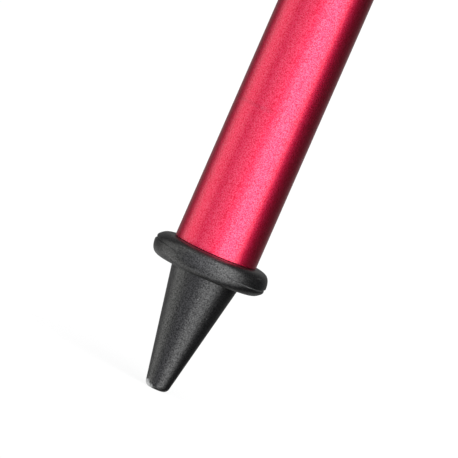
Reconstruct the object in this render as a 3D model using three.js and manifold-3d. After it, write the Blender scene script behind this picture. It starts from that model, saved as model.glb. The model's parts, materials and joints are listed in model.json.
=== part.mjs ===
// Adjustable junior ski pole: a blunt moulded tip on a round lower tube, a turning snow basket, a
// telescoping upper tube held by a cam lever, and a moulded grip with a wedge-locked wrist strap.
// Millimetres. +Z runs up the shaft, the origin is the centre of the tip's end face, +X is the
// knuckle side of the grip and -X is the strap side.
import * as THREE from "three";
import { mergeVertices } from "three/addons/utils/BufferGeometryUtils.js";
import Module from "manifold-3d";

const wasm = await Module();
wasm.setup();

// ---- Driving dimensions ----
const FIT = 0.3; // air between neighbouring pieces, per side
const ROUND = 32; // facets round a large turned piece
const SMALL_ROUND = 16; // facets round a pin, screw or hole

const LOWER_TUBE = { outer: 7, inner: 6, top: 500 };
const UPPER_TUBE = { outer: 8, inner: 7.25, bottom: 128, top: 727 };

const TIP = {
  endRadius: 1.05,
  endRound: 1.0,
  coneTopRadius: 5.75,
  coneLength: 20,
  flangeRadius: 9.7,
  flangeThickness: 4,
  flangeRound: 1.7,
  spigotRadius: LOWER_TUBE.inner - FIT,
  spigotLength: 23.3,
  coreRadius: 3.4,
  pinRadius: 0.85,
  pinLength: 12,
};
const FLANGE_TOP = TIP.coneLength + TIP.flangeThickness;

const BASKET = {
  sleeveBottom: 84,
  sleeveHeight: 22,
  seatRadius: 8.7,
  seatBottom: 3.4,
  seatTop: 8.6,
  hubRadius: 12.5,
  rimRadius: 29.5,
  drop: 5,
  wall: 1.8,
  bead: 1.5,
  arms: 6,
};

const COLLAR = {
  bottom: 112,
  height: 34,
  outer: 10.6,
  stepUp: UPPER_TUBE.bottom - 112,
  slot: 1.6,
  slotHeight: 26,
  chamfer: 1.2,
  earThickness: 4.5,
  earRoot: 7.8,
  earReach: 19,
  earBottom: 4,
  earHeight: 16,
};
const SCREW = { x: 14.6, up: COLLAR.earBottom + COLLAR.earHeight / 2, radius: 2, clear: 2.3 };
const SCREW_TUCK = 1.2; // the screw's start inside the pivot, before its axis
const WASHER = { thickness: 1.4, inner: 5.4, outer: 4.3, halfHeight: 6.4 };
const EAR_FACE = COLLAR.slot / 2 + COLLAR.earThickness;
const LEVER = {
  camRadius: 4.2,
  eccentricity: 0.4,
  height: 13,
  forkGap: 5.6,
  armInner: 12.1,
  armOuter: 15,
  armEnd: -158,
  forkReach: 6.4,
  pivotRadius: 2.6,
};
// The cam's closed face bears on the washer, which bears on the ear.
const PIVOT_Y = -(EAR_FACE + FIT + WASHER.thickness + FIT + LEVER.camRadius + LEVER.eccentricity);
const NUT = { radius: 5.2, length: 5, bossRadius: 3.6, screwBeyond: 2.2 };

const GRIP = { bottom: 620, collarTop: 10, rubberTop: 104, top: 130 };
const CORE = { inner: UPPER_TUBE.outer + FIT, outer: 9.8, bottom: 3.3, top: 109, cap: 1.7 };
// The strap leaves the head here: x is the rear face, z is up from the grip's bottom.
const MOUTH = { x: -23.5, z: 116, halfHeight: 3.6, halfWidth: 10.5, depth: 27 };
const STRAP = { width: 20, thickness: 1.4, layer: 0.85, pinX: 22, wrapRadius: 2.5 };
// Centre of the keeper from the mouth, and how steeply it hangs.
const KEEPER = {
  x: -13, z: -3.9, slope: 30, halfLong: 4.5, halfWide: 12.2, halfHigh: 3.4,
  windowHalfWide: 10.4, windowHalfHigh: 2.2,
};
const WEDGE = { front: 15, rear: 3, halfWidth: 7.5, bottom: 1.95 };
const ANCHOR = { radius: 1.6, headRadius: 3.4, headDepth: 2.4, reach: 12.5, beyond: 5 };

// ---- Colours ----
const finish = (color, roughness, metalness) =>
  new THREE.MeshStandardMaterial({ color, roughness, metalness });
const FINISH = {
  redAnodised: finish(0xd0213f, 0.38, 0.9),
  tipRubber: finish(0x2b2c2e, 0.62, 0),
  blackNylon: finish(0x1d1e20, 0.5, 0),
  gripRubber: finish(0x222325, 0.8, 0),
  redPlastic: finish(0xb81d35, 0.42, 0),
  steel: finish(0xb4b6b8, 0.32, 1),
  webbing: finish(0x202124, 0.9, 0),
  acetal: finish(0xe4e2dc, 0.45, 0),
};

// ---- Shape helpers ----

// A turned solid from a closed [radius, z] profile that runs anticlockwise.
function turned(profile, facets = ROUND) {
  const points = profile.map(([r, z]) => new THREE.Vector2(r, z));
  if (profile[0][0] > 0) points.push(points[0].clone());
  return new THREE.LatheGeometry(points, facets).rotateX(Math.PI / 2);
}

// Points on an arc, angles in degrees, both ends included.
function arc(cx, cy, radius, from, to, steps) {
  return Array.from({ length: steps + 1 }, (_, i) => {
    const a = THREE.MathUtils.degToRad(from + ((to - from) * i) / steps);
    return [cx + radius * Math.cos(a), cy + radius * Math.sin(a)];
  });
}

function shapeOf(points) {
  return new THREE.Shape(points.map(([x, y]) => new THREE.Vector2(x, y)));
}

// An outline in XY, extruded up from z = 0.
function slab(points, height) {
  return new THREE.ExtrudeGeometry(shapeOf(points), { depth: height, bevelEnabled: false });
}

// An outline in XZ, extruded to both sides of y = 0.
function slabAcross(points, width) {
  return slab(points, width).rotateX(Math.PI / 2).translate(0, width / 2, 0);
}

function rectangle(x0, y0, x1, y1) {
  return [[x0, y0], [x1, y0], [x1, y1], [x0, y1]];
}

function block(x0, x1, y0, y1, z0, z1) {
  return slab(rectangle(x0, y0, x1, y1), z1 - z0).translate(0, 0, z0);
}

function rod(radius, length, facets = SMALL_ROUND) {
  return turned([[0, 0], [radius, 0], [radius, length], [0, length]], facets);
}

// A rod along +Y from y = from to y = to, at x and z.
function crossRod(radius, from, to, x, z, facets = SMALL_ROUND) {
  return rod(radius, to - from, facets).rotateX(-Math.PI / 2).translate(x, from, z);
}

// A solid through a stack of rounded sections { z, front, rear, side, power }.
function loft(sections, facets = 28) {
  const at = ({ z, front, rear, side, power = 2.3 }, i) => {
    const a = (2 * Math.PI * i) / facets;
    const bend = (v) => Math.sign(v) * Math.abs(v) ** (2 / power);
    const c = bend(Math.cos(a));
    return [c * (c > 0 ? front : rear), bend(Math.sin(a)) * side, z];
  };
  const position = sections.flatMap((s) => Array.from({ length: facets }, (_, i) => at(s, i)).flat());
  const index = [];
  for (let row = 0; row < sections.length - 1; row++) {
    for (let i = 0; i < facets; i++) {
      const [a, b] = [row * facets + i, row * facets + ((i + 1) % facets)];
      index.push(a, b, b + facets, a, b + facets, a + facets);
    }
  }
  const [low, high] = [sections[0], sections.at(-1)];
  const lowCentre = position.length / 3;
  position.push(0, 0, low.z, 0, 0, high.z);
  const lastRow = (sections.length - 1) * facets;
  for (let i = 0; i < facets; i++) {
    const next = (i + 1) % facets;
    index.push(lowCentre, next, i, lowCentre + 1, lastRow + i, lastRow + next);
  }
  const geometry = new THREE.BufferGeometry();
  geometry.setAttribute("position", new THREE.Float32BufferAttribute(position, 3));
  geometry.setIndex(index);
  return geometry;
}

// A band of even thickness along a path of [x, z] points, as one closed outline.
function bandOutline(path, thickness) {
  const side = (sign) =>
    path.map(([x, z], i) => {
      const [px, pz] = path[Math.max(i - 1, 0)];
      const [nx, nz] = path[Math.min(i + 1, path.length - 1)];
      const long = Math.hypot(nx - px, nz - pz);
      const off = (sign * thickness) / 2 / long;
      return [x - (nz - pz) * off, z + (nx - px) * off];
    });
  return [...side(1), ...side(-1).reverse()];
}

function solid(geometry) {
  const bare = geometry.clone();
  bare.deleteAttribute("normal");
  bare.deleteAttribute("uv");
  const merged = mergeVertices(bare, 1e-4);
  return new wasm.Manifold(
    new wasm.Mesh({
      numProp: 3,
      vertProperties: merged.attributes.position.array,
      triVerts: new Uint32Array(merged.index.array),
    }),
  );
}

function geometryOf(made) {
  const { vertProperties, triVerts } = made.getMesh();
  const geometry = new THREE.BufferGeometry();
  geometry.setAttribute("position", new THREE.BufferAttribute(vertProperties, 3));
  geometry.setIndex(new THREE.BufferAttribute(triVerts, 1));
  geometry.computeVertexNormals();
  return geometry;
}

function joined(...geometries) {
  return geometryOf(geometries.map(solid).reduce((all, one) => all.add(one)));
}

function carved(geometry, ...cutters) {
  return geometryOf(cutters.map(solid).reduce((left, cut) => left.subtract(cut), solid(geometry)));
}

function piece(name, geometry, material, z = 0) {
  const mesh = new THREE.Mesh(geometry, material);
  mesh.name = name;
  mesh.position.z = z;
  return mesh;
}

function group(z, ...children) {
  const made = new THREE.Group();
  made.position.z = z;
  made.add(...children);
  return made;
}

const smooth = (from, to, z) => THREE.MathUtils.smoothstep(z, from, to);

// ---- Lower section ----

// The blunt cone, its flange and the hollow spigot that plugs the tube, moulded as one.
function tipCone() {
  const { flangeRound: round, flangeRadius: rim, coneLength: low } = TIP;
  const footRadius = 2;
  const rise = Math.atan((TIP.coneTopRadius - footRadius) / TIP.coneLength);
  const slope = (180 / Math.PI) * rise;
  const spigotTop = FLANGE_TOP + TIP.spigotLength;
  const bore = TIP.pinRadius + 0.1;
  const lead = { high: 1.2, deep: 0.9 };
  const core = { floor: FLANGE_TOP - 3, point: FLANGE_TOP - 6 };
  return turned([
    [bore, 0],
    ...arc(TIP.endRadius, TIP.endRound, TIP.endRound, -90, -slope, 4),
    [TIP.coneTopRadius, low],
    ...arc(rim - round, low + round, round, -90, 0, 4),
    ...arc(rim - round, FLANGE_TOP - round, round, 0, 90, 4),
    [TIP.spigotRadius, FLANGE_TOP],
    [TIP.spigotRadius, spigotTop - lead.high],
    [TIP.spigotRadius - lead.deep, spigotTop],
    [TIP.coreRadius, spigotTop],
    [TIP.coreRadius, core.floor],
    [bore, core.point],
  ]);
}

// Hardened pin down the middle of the cone, with a barbed head that anchors it.
function tipPin() {
  const { pinRadius: r, pinLength: long } = TIP;
  const [foot, point] = [0.1, 0.4];
  const waist = { radius: r - 0.18, bottom: long - 5, top: long - 3, slant: 0.4 };
  return turned([
    [0, 0], [r - foot, 0], [r, foot], [r, waist.bottom],
    [waist.radius, waist.bottom + waist.slant], [waist.radius, waist.top - waist.slant],
    [r, waist.top], [r, long - point], [r - point, long], [0, long],
  ], SMALL_ROUND);
}

function tube({ outer, inner }, length) {
  const chamfer = 0.15;
  return turned([
    [inner, 0], [outer - chamfer, 0], [outer, chamfer],
    [outer, length - chamfer], [outer - chamfer, length], [inner, length],
  ]);
}

// Plug in the lower tube's top end that guides it inside the upper tube.
function guideBush() {
  const [stem, guide, bore] = [LOWER_TUBE.inner - FIT, UPPER_TUBE.inner - 0.2, 3.6];
  const [bottom, top] = [-16, 10.5];
  return turned([
    [bore, bottom], [stem - 0.6, bottom], [stem, bottom + 1], [stem, FIT], [guide, FIT],
    [guide, top - 1.5], [guide - 1, top], [bore, top],
  ]);
}

// Sleeve bonded to the tube, with the groove that the basket snaps into.
function basketSleeve() {
  const bore = LOWER_TUBE.outer + FIT;
  const { seatRadius: seat, sleeveHeight: high, seatBottom, seatTop } = BASKET;
  const flange = seat + 1.8;
  const catcher = { radius: seat + 0.9, bottom: seatTop + 0.5, top: seatTop + 1.4 };
  const neck = { radius: seat - 0.2, z: seatTop + 3.6 };
  return turned([
    [bore, 0], [seat + 0.4, 0], [flange, 1], [flange, seatBottom - 0.4], [seat, seatBottom],
    [seat, seatTop], [catcher.radius, catcher.bottom], [catcher.radius, catcher.top],
    [neck.radius, neck.z], [bore + 0.5, high - 1], [bore + 0.3, high], [bore, high],
  ]);
}

// Dished snow basket: hub ring, arms, a middle ring and a beaded rim, with windows between them.
function snowBasket() {
  const { hubRadius: hub, rimRadius: rim, drop, wall, bead, arms } = BASKET;
  const bore = BASKET.seatRadius + FIT;
  const [low, high] = [BASKET.seatBottom + FIT, BASKET.seatTop - FIT];
  const inner = rim - 2 * bead;
  const beadLow = low - drop - 0.4;
  const dish = turned([
    [bore, low], [hub, low], [inner, low - drop], [rim - bead, beadLow],
    ...arc(rim - bead, beadLow + bead, bead, -90, 90, 4),
    [inner, low - drop + wall], [hub + 2.5, low + wall + 0.6], [hub, high], [bore, high],
  ]);
  const middleRing = { inner: inner - 6.4, outer: inner - 4.6 };
  const [narrow, wide] = [20, 24]; // half angles of the inner and outer windows
  const window = (from, to, halfAngle, centre) =>
    slab([...arc(0, 0, from, centre - halfAngle, centre + halfAngle, 3),
      ...arc(0, 0, to, centre + halfAngle, centre - halfAngle, 4)], 40).translate(0, 0, -20);
  const cuts = Array.from({ length: arms }, (_, i) => (360 / arms) * i).flatMap((centre) => [
    window(hub + 1.6, middleRing.inner, narrow, centre),
    window(middleRing.outer, inner - 0.6, wide, centre),
  ]);
  return carved(dish, ...cuts);
}

const lowerSection = group(
  0,
  piece("tip_cone", tipCone(), FINISH.tipRubber),
  piece("tip_pin", tipPin(), FINISH.steel),
  piece("lower_tube", tube(LOWER_TUBE, LOWER_TUBE.top - FLANGE_TOP - FIT), FINISH.redAnodised,
    FLANGE_TOP + FIT),
  piece("guide_bush", guideBush(), FINISH.acetal, LOWER_TUBE.top),
  piece("basket_sleeve", basketSleeve(), FINISH.blackNylon, BASKET.sleeveBottom),
  piece("snow_basket", snowBasket(), FINISH.blackNylon, BASKET.sleeveBottom),
);

// ---- Length clamp ----

// Slit collar: it grips the upper tube above the step and squeezes the lower tube below it.
function clampCollar() {
  const { height, outer, slot, slotHeight, chamfer, earRoot, earReach, earBottom, earHeight } = COLLAR;
  const [wide, narrow] = [UPPER_TUBE.outer + FIT, LOWER_TUBE.outer + FIT];
  const step = COLLAR.stepUp - FIT;
  const shoulder = { high: 3, deep: 1.6 };
  const body = turned([
    [narrow, 0], [outer - chamfer, 0], [outer, chamfer], [outer, height - shoulder.high],
    [outer - shoulder.deep, height], [wide, height], [wide, step], [narrow, step],
  ]);
  const corner = { long: 4, deep: 1.5 };
  const ears = slab([
    [earRoot, -EAR_FACE], [earReach - corner.long, -EAR_FACE], [earReach, -EAR_FACE + corner.deep],
    [earReach, EAR_FACE - corner.deep], [earReach - corner.long, EAR_FACE], [earRoot, EAR_FACE],
  ], earHeight).translate(0, 0, earBottom);
  const bore = turned([[0, -1], [narrow, -1], [narrow, step], [wide, step],
    [wide, height + 1], [0, height + 1]]);
  const slit = block(0, earReach + 1, -slot / 2, slot / 2, -1, slotHeight);
  const hole = crossRod(SCREW.clear, -EAR_FACE - 1, EAR_FACE + 1, SCREW.x, SCREW.up);
  return carved(joined(body, ears), bore, slit, hole);
}

// Cam lever: a forked eccentric hub and an arm that wraps round the collar.
function clampLever() {
  const { camRadius, eccentricity, height, armInner, armOuter, armEnd } = LEVER;
  const hubY = PIVOT_Y + eccentricity;
  const hub = turned([[0, 0], [camRadius, 0], [camRadius, height], [0, height]], 28)
    .translate(SCREW.x, hubY, 0);
  const root = { x: 8.6, y: PIVOT_Y + 3 };
  const lip = { radius: armOuter + 1.8, from: armEnd - 6, to: armEnd - 8 };
  const arm = slab([
    [SCREW.x + 1.5, PIVOT_Y - camRadius + 0.2],
    [9, -17.4],
    ...arc(0, 0, armOuter + 1.2, -68, -80, 2),
    ...arc(0, 0, armOuter, -95, armEnd, 8),
    ...arc(0, 0, lip.radius, lip.from, lip.to, 1),
    ...arc(0, 0, armInner, lip.to, -64, 10),
    [root.x, root.y],
    [SCREW.x, root.y],
  ], height);
  const [reach, half] = [LEVER.forkReach, LEVER.forkGap / 2];
  const fork = block(SCREW.x - reach, SCREW.x + reach, PIVOT_Y - 7, PIVOT_Y + 7,
    height / 2 - half, height / 2 + half);
  const pivot = rod(LEVER.pivotRadius + 0.25, height + 2).translate(SCREW.x, PIVOT_Y, -1);
  return carved(joined(hub, arm), fork, pivot);
}

function clampPivot() {
  const long = LEVER.height + 1;
  const barrel = rod(LEVER.pivotRadius, long, 24).translate(SCREW.x, PIVOT_Y, -long / 2);
  const tapped = crossRod(SCREW.radius, PIVOT_Y - 1.6, PIVOT_Y + 8, SCREW.x, 0);
  return carved(barrel, tapped);
}

function clampScrew() {
  const from = PIVOT_Y - SCREW_TUCK;
  const to = EAR_FACE + FIT + NUT.length + NUT.screwBeyond;
  const long = to - from;
  const thread = SCREW.radius - 0.2;
  const [start, point] = [0.3, 0.6];
  return turned([[0, 0], [thread - start, 0], [thread, start], [thread, long - point],
    [thread - point, long], [0, long]], SMALL_ROUND)
    .rotateX(-Math.PI / 2).translate(SCREW.x, from, 0);
}

function camWasher() {
  const { thickness, inner, outer, halfHeight } = WASHER;
  const plate = block(SCREW.x - inner, SCREW.x + outer, 0, thickness, -halfHeight, halfHeight);
  const hole = crossRod(SCREW.clear, -1, thickness + 1, SCREW.x, 0);
  return carved(plate, hole).translate(0, -EAR_FACE - FIT - thickness, 0);
}

function thumbNut() {
  const { radius, length, bossRadius: boss } = NUT;
  const bore = SCREW.clear - 0.2;
  const chamfer = 0.8;
  return turned([
    [bore, 0], [boss, 0], [boss + 0.2, 0.8], [radius - 0.4, 0.9], [radius, 1.4],
    [radius, length - chamfer], [radius - chamfer, length], [bore, length],
  ], 24).rotateX(-Math.PI / 2).translate(SCREW.x, EAR_FACE + FIT, 0);
}

const screwHeight = COLLAR.bottom + SCREW.up;
const clamp = group(
  0,
  piece("clamp_collar", clampCollar(), FINISH.blackNylon, COLLAR.bottom),
  piece("clamp_lever", clampLever(), FINISH.redPlastic, screwHeight - LEVER.height / 2),
  piece("clamp_pivot", clampPivot(), FINISH.steel, screwHeight),
  piece("clamp_screw", clampScrew(), FINISH.steel, screwHeight),
  piece("cam_washer", camWasher(), FINISH.steel, screwHeight),
  piece("thumb_nut", thumbNut(), FINISH.steel, screwHeight),
);

// ---- Grip, measured up from its bottom ----

// Outer skin of collar and rubber: a ridge between each pair of fingers, a palm swell behind.
function skin(z) {
  const fingers = 1.3 * Math.cos((2 * Math.PI * (z - 11.5)) / 21);
  const swell = Math.sin((Math.PI * THREE.MathUtils.clamp(z - 8, 0, 94)) / 94) ** 2;
  const flare = 1 - smooth(2, 16, z);
  const crown = smooth(88, 104, z);
  return {
    z,
    front: 13.6 + fingers * (1 - flare) * (1 - crown) + 2.4 * flare + 5.6 * crown,
    rear: 13.2 + 2.6 * swell + 2 * flare + 6.6 * crown,
    side: 11.4 + 1.2 * swell + 1.8 * flare + 2.4 * crown,
    power: 2.3,
  };
}

function skinBetween(from, to, steps) {
  return Array.from({ length: steps + 1 }, (_, i) => skin(from + ((to - from) * i) / steps));
}

// Hard ring that finishes the grip's lower end.
function gripCollar() {
  const top = GRIP.collarTop - FIT;
  const edge = { ...skin(0), front: 14.4, rear: 13.6, side: 11.8 };
  const body = loft([edge, { ...skin(1.4), z: 1.4 }, ...skinBetween(3, top, 4)]);
  const [ledge, seat] = [CORE.bottom - FIT, CORE.outer + FIT];
  const step = turned([[0, -1], [CORE.inner, -1], [CORE.inner, ledge], [seat, ledge],
    [seat, top + 1], [0, top + 1]]);
  return carved(body, step);
}

// Rigid sleeve with a closed top that is bonded over the tube's end.
function gripCore() {
  const { inner, outer, bottom, top, cap } = CORE;
  const chamfer = 1;
  return turned([[inner, bottom], [outer, bottom], [outer, top - chamfer], [outer - chamfer, top],
    [0, top], [0, top - cap], [inner, top - cap]]);
}

function gripRubber() {
  const body = loft(skinBetween(GRIP.collarTop, GRIP.rubberTop - FIT, 22));
  return carved(body, rod(CORE.outer + FIT, GRIP.top, ROUND).translate(0, 0, GRIP.collarTop - 5));
}

// Outer skin of the head: a knuckle nose in front, a strap heel behind, a flat crown on top.
function headSections() {
  const outline = [
    { z: 104, front: 19.2, rear: 19.8, side: 13.8 },
    { z: 107, front: 20.8, rear: 21.6, side: 14.3 },
    { z: 110, front: 22, rear: 23, side: 14.7 },
    { z: 114, front: 22.6, rear: 23.8, side: 15 },
    { z: 119, front: 22.4, rear: 23.8, side: 15 },
    { z: 123, front: 21.4, rear: 23.2, side: 14.6 },
    { z: 126, front: 19.8, rear: 22, side: 13.7 },
    { z: 128, front: 18, rear: 20.6, side: 12.5 },
    { z: 129.3, front: 16, rear: 19, side: 11 },
    { z: 130, front: 13.6, rear: 17.2, side: 9.4 },
  ];
  return outline.map((s) => ({ ...s, power: 2.5 }));
}

// Hard head with the strap's slot, the wedge's pocket and the anchor screw's cross hole.
function gripHead() {
  const socket = rod(CORE.outer + FIT, 10, ROUND).translate(0, 0, CORE.top + FIT - 10);
  const slotX = [MOUTH.x - 5, MOUTH.x + MOUTH.depth];
  const slot = block(...slotX, -MOUTH.halfWidth, MOUTH.halfWidth,
    MOUTH.z - MOUTH.halfHeight, MOUTH.z + MOUTH.halfHeight);
  const side = WEDGE.halfWidth + FIT;
  const pocket = block(MOUTH.x + WEDGE.rear - FIT, MOUTH.x + WEDGE.front + FIT, -side, side,
    MOUTH.z, GRIP.top + 2);
  const x = MOUTH.x + STRAP.pinX;
  const clear = 20; // beyond both sides of the head
  const hole = crossRod(ANCHOR.radius + 0.2, -clear, clear, x, MOUTH.z);
  const seats = [-1, 1].map((sign) => {
    const inner = ANCHOR.reach - ANCHOR.headDepth - 0.1;
    const ends = [sign * inner, sign * clear].sort((a, b) => a - b);
    return crossRod(ANCHOR.headRadius + 0.2, ...ends, x, MOUTH.z);
  });
  return carved(loft(headSections()), socket, slot, pocket, hole, ...seats);
}

// Block that drops on the strap and locks its length; its lip is a finger catch.
function strapWedge() {
  const { front, rear, halfWidth, bottom } = WEDGE;
  const crown = GRIP.top - MOUTH.z;
  return slabAcross([
    [rear, bottom], [front - 4, bottom + 0.2], [front, bottom + 1.6], [front, crown - 0.2],
    [rear + 3, crown - 0.2], [rear + 1.6, crown + 0.6], [rear, crown - 0.4],
  ], 2 * halfWidth);
}

// The webbing's ends inside the head: both layers run in from the mouth and round the anchor.
function strapEnds() {
  const half = [[1, STRAP.layer], [7, 0.9], [13, 1.5], [18, 2.3]];
  const turn = arc(STRAP.pinX, 0, STRAP.wrapRadius, 90, -90, 8);
  const back = half.map(([x, z]) => [x, -z]).reverse();
  return slabAcross(bandOutline([...half, ...turn, ...back], STRAP.thickness), STRAP.width);
}

// A place in the keeper: along it towards the hand, and across it.
function inKeeper(along, across) {
  const slope = THREE.MathUtils.degToRad(KEEPER.slope);
  return [
    KEEPER.x - along * Math.cos(slope) - across * Math.sin(slope),
    KEEPER.z - along * Math.sin(slope) + across * Math.cos(slope),
  ];
}

// Centreline of the hand loop from the mouth, out through the keeper, round and back again.
function loopPath() {
  const { layer } = STRAP;
  const knots = [
    [-1.8, layer], inKeeper(-5.5, layer), inKeeper(0, layer), inKeeper(5.5, layer),
    [-27, -14], [-41, -33], [-53, -62], [-59, -95],
    [-58.5, -130], [-49, -163], [-33, -178], [-17, -168], [-9, -140], [-8.5, -104],
    [-13, -62], [-20, -26], [-21, -14.5],
    inKeeper(5.5, -layer), inKeeper(0, -layer), inKeeper(-5.5, -layer), [-1.8, -layer],
  ];
  const curve = new THREE.SplineCurve(knots.map(([x, z]) => new THREE.Vector2(x, z)));
  return curve.getPoints(84).map((p) => [p.x, p.y]);
}

function strapLoop() {
  return slabAcross(bandOutline(loopPath(), STRAP.thickness), STRAP.width);
}

// Plastic keeper round both layers of webbing.
function strapKeeper() {
  const { halfLong: long, halfWide: wide, halfHigh: high } = KEEPER;
  const { windowHalfWide: insideWide, windowHalfHigh: insideHigh } = KEEPER;
  const outside = block(-long, long, -wide, wide, -high, high);
  const window = block(-long - 1, long + 1, -insideWide, insideWide, -insideHigh, insideHigh);
  return carved(outside, window);
}

// Cross screw and sleeve nut that anchor the webbing, along Y.
function anchorScrew() {
  const { radius, headRadius, headDepth, reach } = ANCHOR;
  const long = reach + ANCHOR.beyond;
  return turned([[0, 0], [headRadius, 0], [headRadius, headDepth - 0.4], [radius, headDepth],
    [radius, long], [0, long]], SMALL_ROUND)
    .rotateX(-Math.PI / 2).translate(0, -reach, 0);
}

function anchorNut() {
  const { headRadius, headDepth, reach } = ANCHOR;
  return turned([[0, 0], [headRadius, 0], [headRadius, headDepth], [0, headDepth]], SMALL_ROUND)
    .rotateX(-Math.PI / 2).translate(0, reach - headDepth, 0);
}

const keeper = piece("strap_keeper", strapKeeper(), FINISH.blackNylon, KEEPER.z);
keeper.position.x = KEEPER.x;
keeper.rotation.y = THREE.MathUtils.degToRad(-KEEPER.slope);

const strap = group(
  MOUTH.z,
  piece("strap_ends", strapEnds(), FINISH.webbing),
  piece("strap_loop", strapLoop(), FINISH.webbing),
  piece("strap_wedge", strapWedge(), FINISH.redPlastic),
  keeper,
);
strap.position.x = MOUTH.x;

const anchor = group(
  MOUTH.z,
  piece("anchor_screw", anchorScrew(), FINISH.steel),
  piece("anchor_nut", anchorNut(), FINISH.steel),
);
anchor.position.x = MOUTH.x + STRAP.pinX;

const grip = group(
  GRIP.bottom,
  piece("grip_collar", gripCollar(), FINISH.blackNylon),
  piece("grip_core", gripCore(), FINISH.acetal),
  piece("grip_rubber", gripRubber(), FINISH.gripRubber),
  piece("grip_head", gripHead(), FINISH.blackNylon),
  strap,
  anchor,
);

const upperTube = piece("upper_tube", tube(UPPER_TUBE, UPPER_TUBE.top - UPPER_TUBE.bottom),
  FINISH.redAnodised, UPPER_TUBE.bottom);

export default group(0, lowerSection, group(0, upperTube, clamp, grip));
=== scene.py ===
"""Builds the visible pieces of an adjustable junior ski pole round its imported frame."""

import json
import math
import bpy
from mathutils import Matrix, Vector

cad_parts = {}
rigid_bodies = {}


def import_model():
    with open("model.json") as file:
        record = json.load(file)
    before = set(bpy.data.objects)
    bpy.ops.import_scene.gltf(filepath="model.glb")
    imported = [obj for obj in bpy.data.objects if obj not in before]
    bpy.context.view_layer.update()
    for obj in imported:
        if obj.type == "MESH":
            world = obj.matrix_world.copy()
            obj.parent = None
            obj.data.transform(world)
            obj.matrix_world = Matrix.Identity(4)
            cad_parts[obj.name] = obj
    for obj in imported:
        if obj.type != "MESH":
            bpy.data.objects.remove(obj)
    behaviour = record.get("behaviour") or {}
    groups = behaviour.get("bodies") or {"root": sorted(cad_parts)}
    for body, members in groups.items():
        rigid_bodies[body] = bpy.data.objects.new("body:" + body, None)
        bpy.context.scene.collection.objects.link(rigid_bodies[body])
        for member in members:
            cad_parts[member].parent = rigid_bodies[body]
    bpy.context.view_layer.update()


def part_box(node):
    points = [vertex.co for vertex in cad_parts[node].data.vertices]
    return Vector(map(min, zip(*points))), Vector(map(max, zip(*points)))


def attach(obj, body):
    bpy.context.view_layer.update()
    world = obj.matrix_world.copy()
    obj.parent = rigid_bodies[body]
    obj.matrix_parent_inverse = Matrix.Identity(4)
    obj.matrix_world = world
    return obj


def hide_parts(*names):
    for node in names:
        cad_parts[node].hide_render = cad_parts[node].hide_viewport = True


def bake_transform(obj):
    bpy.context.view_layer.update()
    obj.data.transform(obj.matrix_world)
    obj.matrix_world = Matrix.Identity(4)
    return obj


bl_info = {
    "name": "Adjustable junior ski pole",
    "version": (1, 0, 0),
    "blender": (4, 5, 0),
    "location": "3D View > Sidebar > Ski Pole",
    "description": "Makes the tip, tubes, basket, clamp, grip and strap of a telescopic ski pole",
    "category": "Object",
}

import bmesh
import bpy
from bpy.props import FloatProperty, FloatVectorProperty, IntProperty, PointerProperty
from mathutils import Matrix, Vector

for left_over in list(bpy.data.objects):
    bpy.data.objects.remove(left_over)

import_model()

AROUND = 128  # facets round a turned piece
FAINT_LINE_HEIGHT = 0.0485  # height of the faint ring on the lower tube, in metres
SHARP = math.radians(32)  # an edge that turns further than this stays crisp
TIP_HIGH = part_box("tip_cone")[1]
LOWER_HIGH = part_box("lower_tube")[1]
UPPER_LOW, UPPER_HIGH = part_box("upper_tube")
BASKET_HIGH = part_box("snow_basket")[1]
SLEEVE_LOW, SLEEVE_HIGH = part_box("basket_sleeve")
COLLAR_LOW, COLLAR_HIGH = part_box("clamp_collar")
LEVER_LOW, LEVER_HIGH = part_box("clamp_lever")
SCREW_LOW, SCREW_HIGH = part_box("clamp_screw")
WASHER_LOW, WASHER_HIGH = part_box("cam_washer")
NUT_LOW, NUT_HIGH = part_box("thumb_nut")
GRIP_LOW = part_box("grip_collar")[0]
WEDGE_LOW, WEDGE_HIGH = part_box("strap_wedge")
ANCHOR_LOW, ANCHOR_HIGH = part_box("anchor_screw")


# ---- Colour and nodes ----


def linear(hex_colour):
    """A #rrggbb sRGB colour as linear RGBA."""
    channels = [int(hex_colour[i : i + 2], 16) / 255 for i in (1, 3, 5)]
    return (*[c / 12.92 if c <= 0.04045 else ((c + 0.055) / 1.055) ** 2.4 for c in channels], 1.0)


def feed(tree, node, inputs):
    """Sets a node's inputs, each from a number, or from a node or socket or a list of those.

    A node gives its first output."""
    for key, value in inputs.items():
        for source in value if isinstance(value, list) else [value]:
            if isinstance(source, bpy.types.Node):
                source = source.outputs[0]
            if isinstance(source, bpy.types.NodeSocket):
                tree.links.new(source, node.inputs[key])
            else:
                node.inputs[key].default_value = source


def add(tree, kind, inputs=None, **settings):
    """Adds a node with its settings and inputs."""
    node = tree.nodes.new(kind)
    for name, value in settings.items():
        setattr(node, name, value)
    feed(tree, node, inputs or {})
    return node


def calc(tree, operation, *values):
    """A math node on those values."""
    return add(tree, "ShaderNodeMath", dict(enumerate(values)), operation=operation)


def spread(tree, value, low, high, to_low=0.0, to_high=1.0):
    """Maps the range from low to high to the other range, and holds it at its ends."""
    ends = {"From Min": low, "From Max": high, "To Min": to_low, "To Max": to_high}
    return add(tree, "ShaderNodeMapRange", {"Value": value, **ends})


def vector(tree, x, y, z):
    """A vector from its parts."""
    return add(tree, "ShaderNodeCombineXYZ", {"X": x, "Y": y, "Z": z})


def tinted(tree, share, under, over):
    """One colour over another, by a share."""
    node = add(tree, "ShaderNodeMix", {"Factor": share, 6: under, 7: over}, data_type="RGBA")
    return node.outputs[2]


def noise(tree, place, pitch, detail):
    """Noise of that pitch in metres."""
    settings = {"Vector": place, "Scale": 1 / pitch, "Detail": detail}
    return add(tree, "ShaderNodeTexNoise", settings)


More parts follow.
